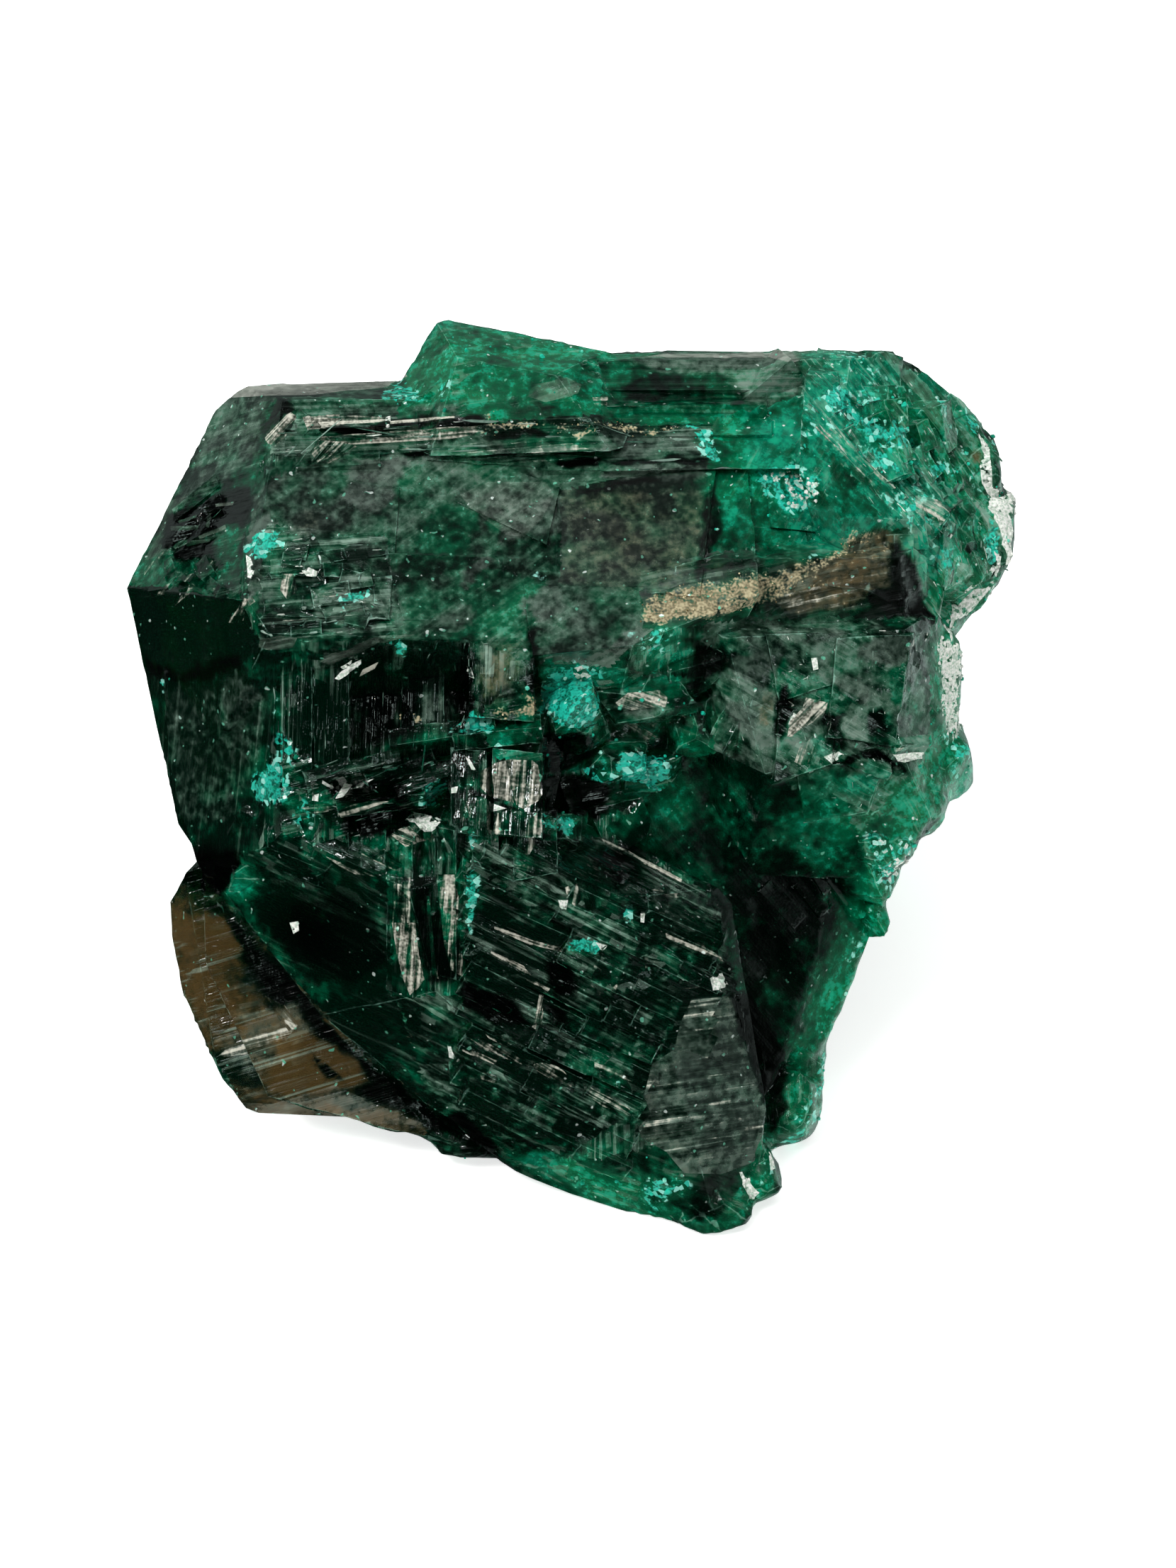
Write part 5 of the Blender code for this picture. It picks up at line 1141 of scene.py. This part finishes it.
# slivers at random places of each zone, most of them near the smallest size
def makeSlivers():
    parts = []
    for name, density, lengths, widths, spread, low, high in sliverRows:
        zone = zoneNames.index(name)
        chosen = (sampleZone == zone) & (dice.random(sampleCount) < density / samplesPerArea)
        chosen &= ~onTable & (sampleMark["teal"] < 0.4)
        picked = np.flatnonzero(chosen)
        length = lengths[0] + (lengths[1] - lengths[0]) * dice.random(len(picked)) ** 2
        width = widths[0] + (widths[1] - widths[0]) * dice.random(len(picked)) ** 2
        size = np.stack([length * 0.5, width, width * 0.35], axis=1)
        frames = framesAt(sampleNormal[picked], zoneRows[zone][1], spread, 0.10)
        tone = low + (high - low) * dice.random(len(picked)) ** 1.5
        parts.append((samplePlace[picked], frames, size, tone))
    place, frames, size, tone = (np.concatenate(column) for column in zip(*parts))
    copyShape("cleavage_slivers", sliverShape, sliverFaces, place, frames, size, tone, sliverMaterial)


makeSlivers()

# a stub of a six-sided crystal with a blunt three-faced tip, its foot sunk in the stone
angles = np.radians(np.arange(6) * 60.0)
stubShape = np.concatenate([
    np.stack([np.cos(angles), np.sin(angles), np.full(6, -0.8)], axis=1),
    np.stack([np.cos(angles), np.sin(angles), np.where(np.arange(6) % 2, 0.75, 0.45)], axis=1),
    [[0.0, 0.0, 1.1]],
]) * 0.5
stubFaces = [
    [[n, (n + 1) % 6, (n + 1) % 6 + 6, n + 6] for n in range(6)],
    [[n + 6, (n + 1) % 6 + 6, 12] for n in range(6)],
    [[5, 4, 3, 2, 1, 0]],
]


# stubs at random places, most of them near the smallest size
def makeStubs(name, amount, size, tone, tall, lean, material):
    picked = np.flatnonzero((dice.random(sampleCount) < amount / samplesPerArea) & ~onTable)
    across = size[0] + (size[1] - size[0]) * dice.random(len(picked)) ** 2
    sizes = np.stack([across, across, across * tall], axis=1)
    frames = framesAt(sampleNormal[picked], 0.0, 90.0, lean)
    tones = tone[0] + (tone[1] - tone[0]) * dice.random(len(picked))
    copyShape(name, stubShape, stubFaces, samplePlace[picked], frames, sizes, tones, material, 0.3)


roughNames = ("slope", "edge", "crust", "lowRim", "emerald", "summit")
roughZones = np.isin(sampleZone, [zoneNames.index(name) for name in roughNames])
tealHere = np.clip((sampleMark["teal"] - 0.35) / 0.4, 0.0, 1.0)
# grains: how many a square millimetre, size from and to in millimetres, tone from and to, height to
# width, and how much they lean
grains = {
    "druse": {
        "amount": 6.0 * tealHere + 1.0 * roughZones, "size": (0.04, 0.11), "tone": (0.0, 1.0),
        "tall": 1.2, "lean": 0.45, "material": druseMaterial,
    },
    "tan_grains": {
        "amount": 30.0 * (sampleMark["tan"] > 0.4), "size": (0.02, 0.06), "tone": (0.0, 1.0),
        "tall": 0.8, "lean": 0.8, "material": matrixMaterial,
    },
    # white crumbs put where the white marks paint glints and the glow of the thin edges
    "white_grains": {
        "amount": 30.0 * (sampleMark["white"] > 0.5), "size": (0.04, 0.10), "tone": (0.2, 1.0),
        "tall": 0.9, "lean": 0.8, "material": paintedGlintCrumbMaterial,
    },
}
for name, made in grains.items():
    makeStubs(name, **made)
print("grains made")

# Paper: a matt white sheet that lies a hair under the stone, bright enough to stay pale in the picture.
paper = Wiring("paper")
paper.set(Base_Color=linearColor("#f4f4f2"), Roughness=0.9)
paper.set(Emission_Color=linearColor("#ffffff"), Emission_Strength=0.72)
floorPlaces = [(x, y, -0.00002) for x, y in ((-1.0, -1.0), (1.0, -1.0), (1.0, 1.5), (-1.0, 1.5))]
floor = makeObject("floor", floorPlaces, [(0, 1, 2, 3)], paper.material)
# the stone mirrors and refracts the room alone, so the paper's white doesn't fill its faces
floor.visible_glossy = False
floor.visible_transmission = False

# rectangular lamps aimed at the stone; the faces mirror the window alone, not the room's soft lamps
for name, place, size, watts, mirrored in (
    ("window", (-0.225, -0.13, 0.425), (0.08, 0.06), 0.45, True),
    ("key", (-0.2, -0.12, 0.42), (0.2, 0.2), 1.0, False),
    ("ceiling", (0.06, 0.1, 0.5), (0.5, 0.5), 1.6, False),
):
    light = bpy.data.lights.new(name, "AREA")
    light.shape = "RECTANGLE"
    light.size, light.size_y = size
    light.energy = watts
    lamp = bpy.data.objects.new(name, light)
    lamp.location = place
    lamp.rotation_euler = (Vector((0.0, 0.0, 0.006)) - Vector(place)).to_track_quat("-Z", "Y").to_euler()
    lamp.visible_glossy = mirrored
    bpy.context.scene.collection.objects.link(lamp)

# the room that the faces mirror: dim, brighter to the back and right, dark toward the viewer, with a few
# small bright windows for the glints; each lobe is strength * exp(sharpness * (cosine to its middle - 1))
roomLobes = [
    (0.0, 0.95, 0.25, 6.0, 0.25),
    (-0.77, 0.64, 0.05, 14.0, 0.3),
    (0.8, -0.6, 0.1, 30.0, 0.3),
    (0.66, 0.31, -0.68, 8.0, 1.2),
    (-0.6, -0.5, 0.62, 400.0, 5.0),
    (0.3, -0.75, 0.6, 400.0, 4.0),
    (0.75, -0.2, 0.62, 400.0, 5.0),
    (-0.85, 0.1, 0.5, 400.0, 5.0),
    (0.5, 0.6, 0.62, 400.0, 5.0),
    (-0.2, 0.1, 0.97, 400.0, 5.0),
]
roomWorld = bpy.data.worlds.new("room")
roomWorld.use_nodes = True
room = roomWorld.node_tree
direction = addNode(room, "ShaderNodeTexCoord").outputs["Generated"]
brightness = 0.006
for x, y, z, sharpness, strength in roomLobes:
    toward = Vector((x, y, z)).normalized()
    cosine = addNode(room, "ShaderNodeVectorMath", {"operation": "DOT_PRODUCT"}, i0=direction, i1=toward)
    power = addMath(room, "MULTIPLY_ADD", cosine.outputs["Value"], sharpness, -sharpness)
    brightness = addMath(room, "MULTIPLY_ADD", addMath(room, "EXPONENT", power), strength, brightness)
room.nodes["Background"].inputs["Color"].default_value = (0.8, 1.0, 0.94, 1.0)
room.links.new(brightness, room.nodes["Background"].inputs["Strength"])
bpy.context.scene.world = roomWorld

camera = bpy.data.cameras.new("camera")
camera.sensor_width = 36.0
camera.lens = camera.sensor_width * (viewer["distance"] - 1.0) / (picture["height"] * picture["scale"])
camera.clip_start = 0.01
cameraObject = bpy.data.objects.new("camera", camera)
eye = toWorld(np.array([[*viewer["aim"], viewer["distance"]]]))[0]
cameraObject.matrix_world = Matrix.Translation(eye) @ Matrix(viewTurn.tolist()).to_4x4()
bpy.context.scene.collection.objects.link(cameraObject)
bpy.context.scene.camera = cameraObject
bpy.context.scene.view_settings.view_transform = "Standard"

print("scene done")
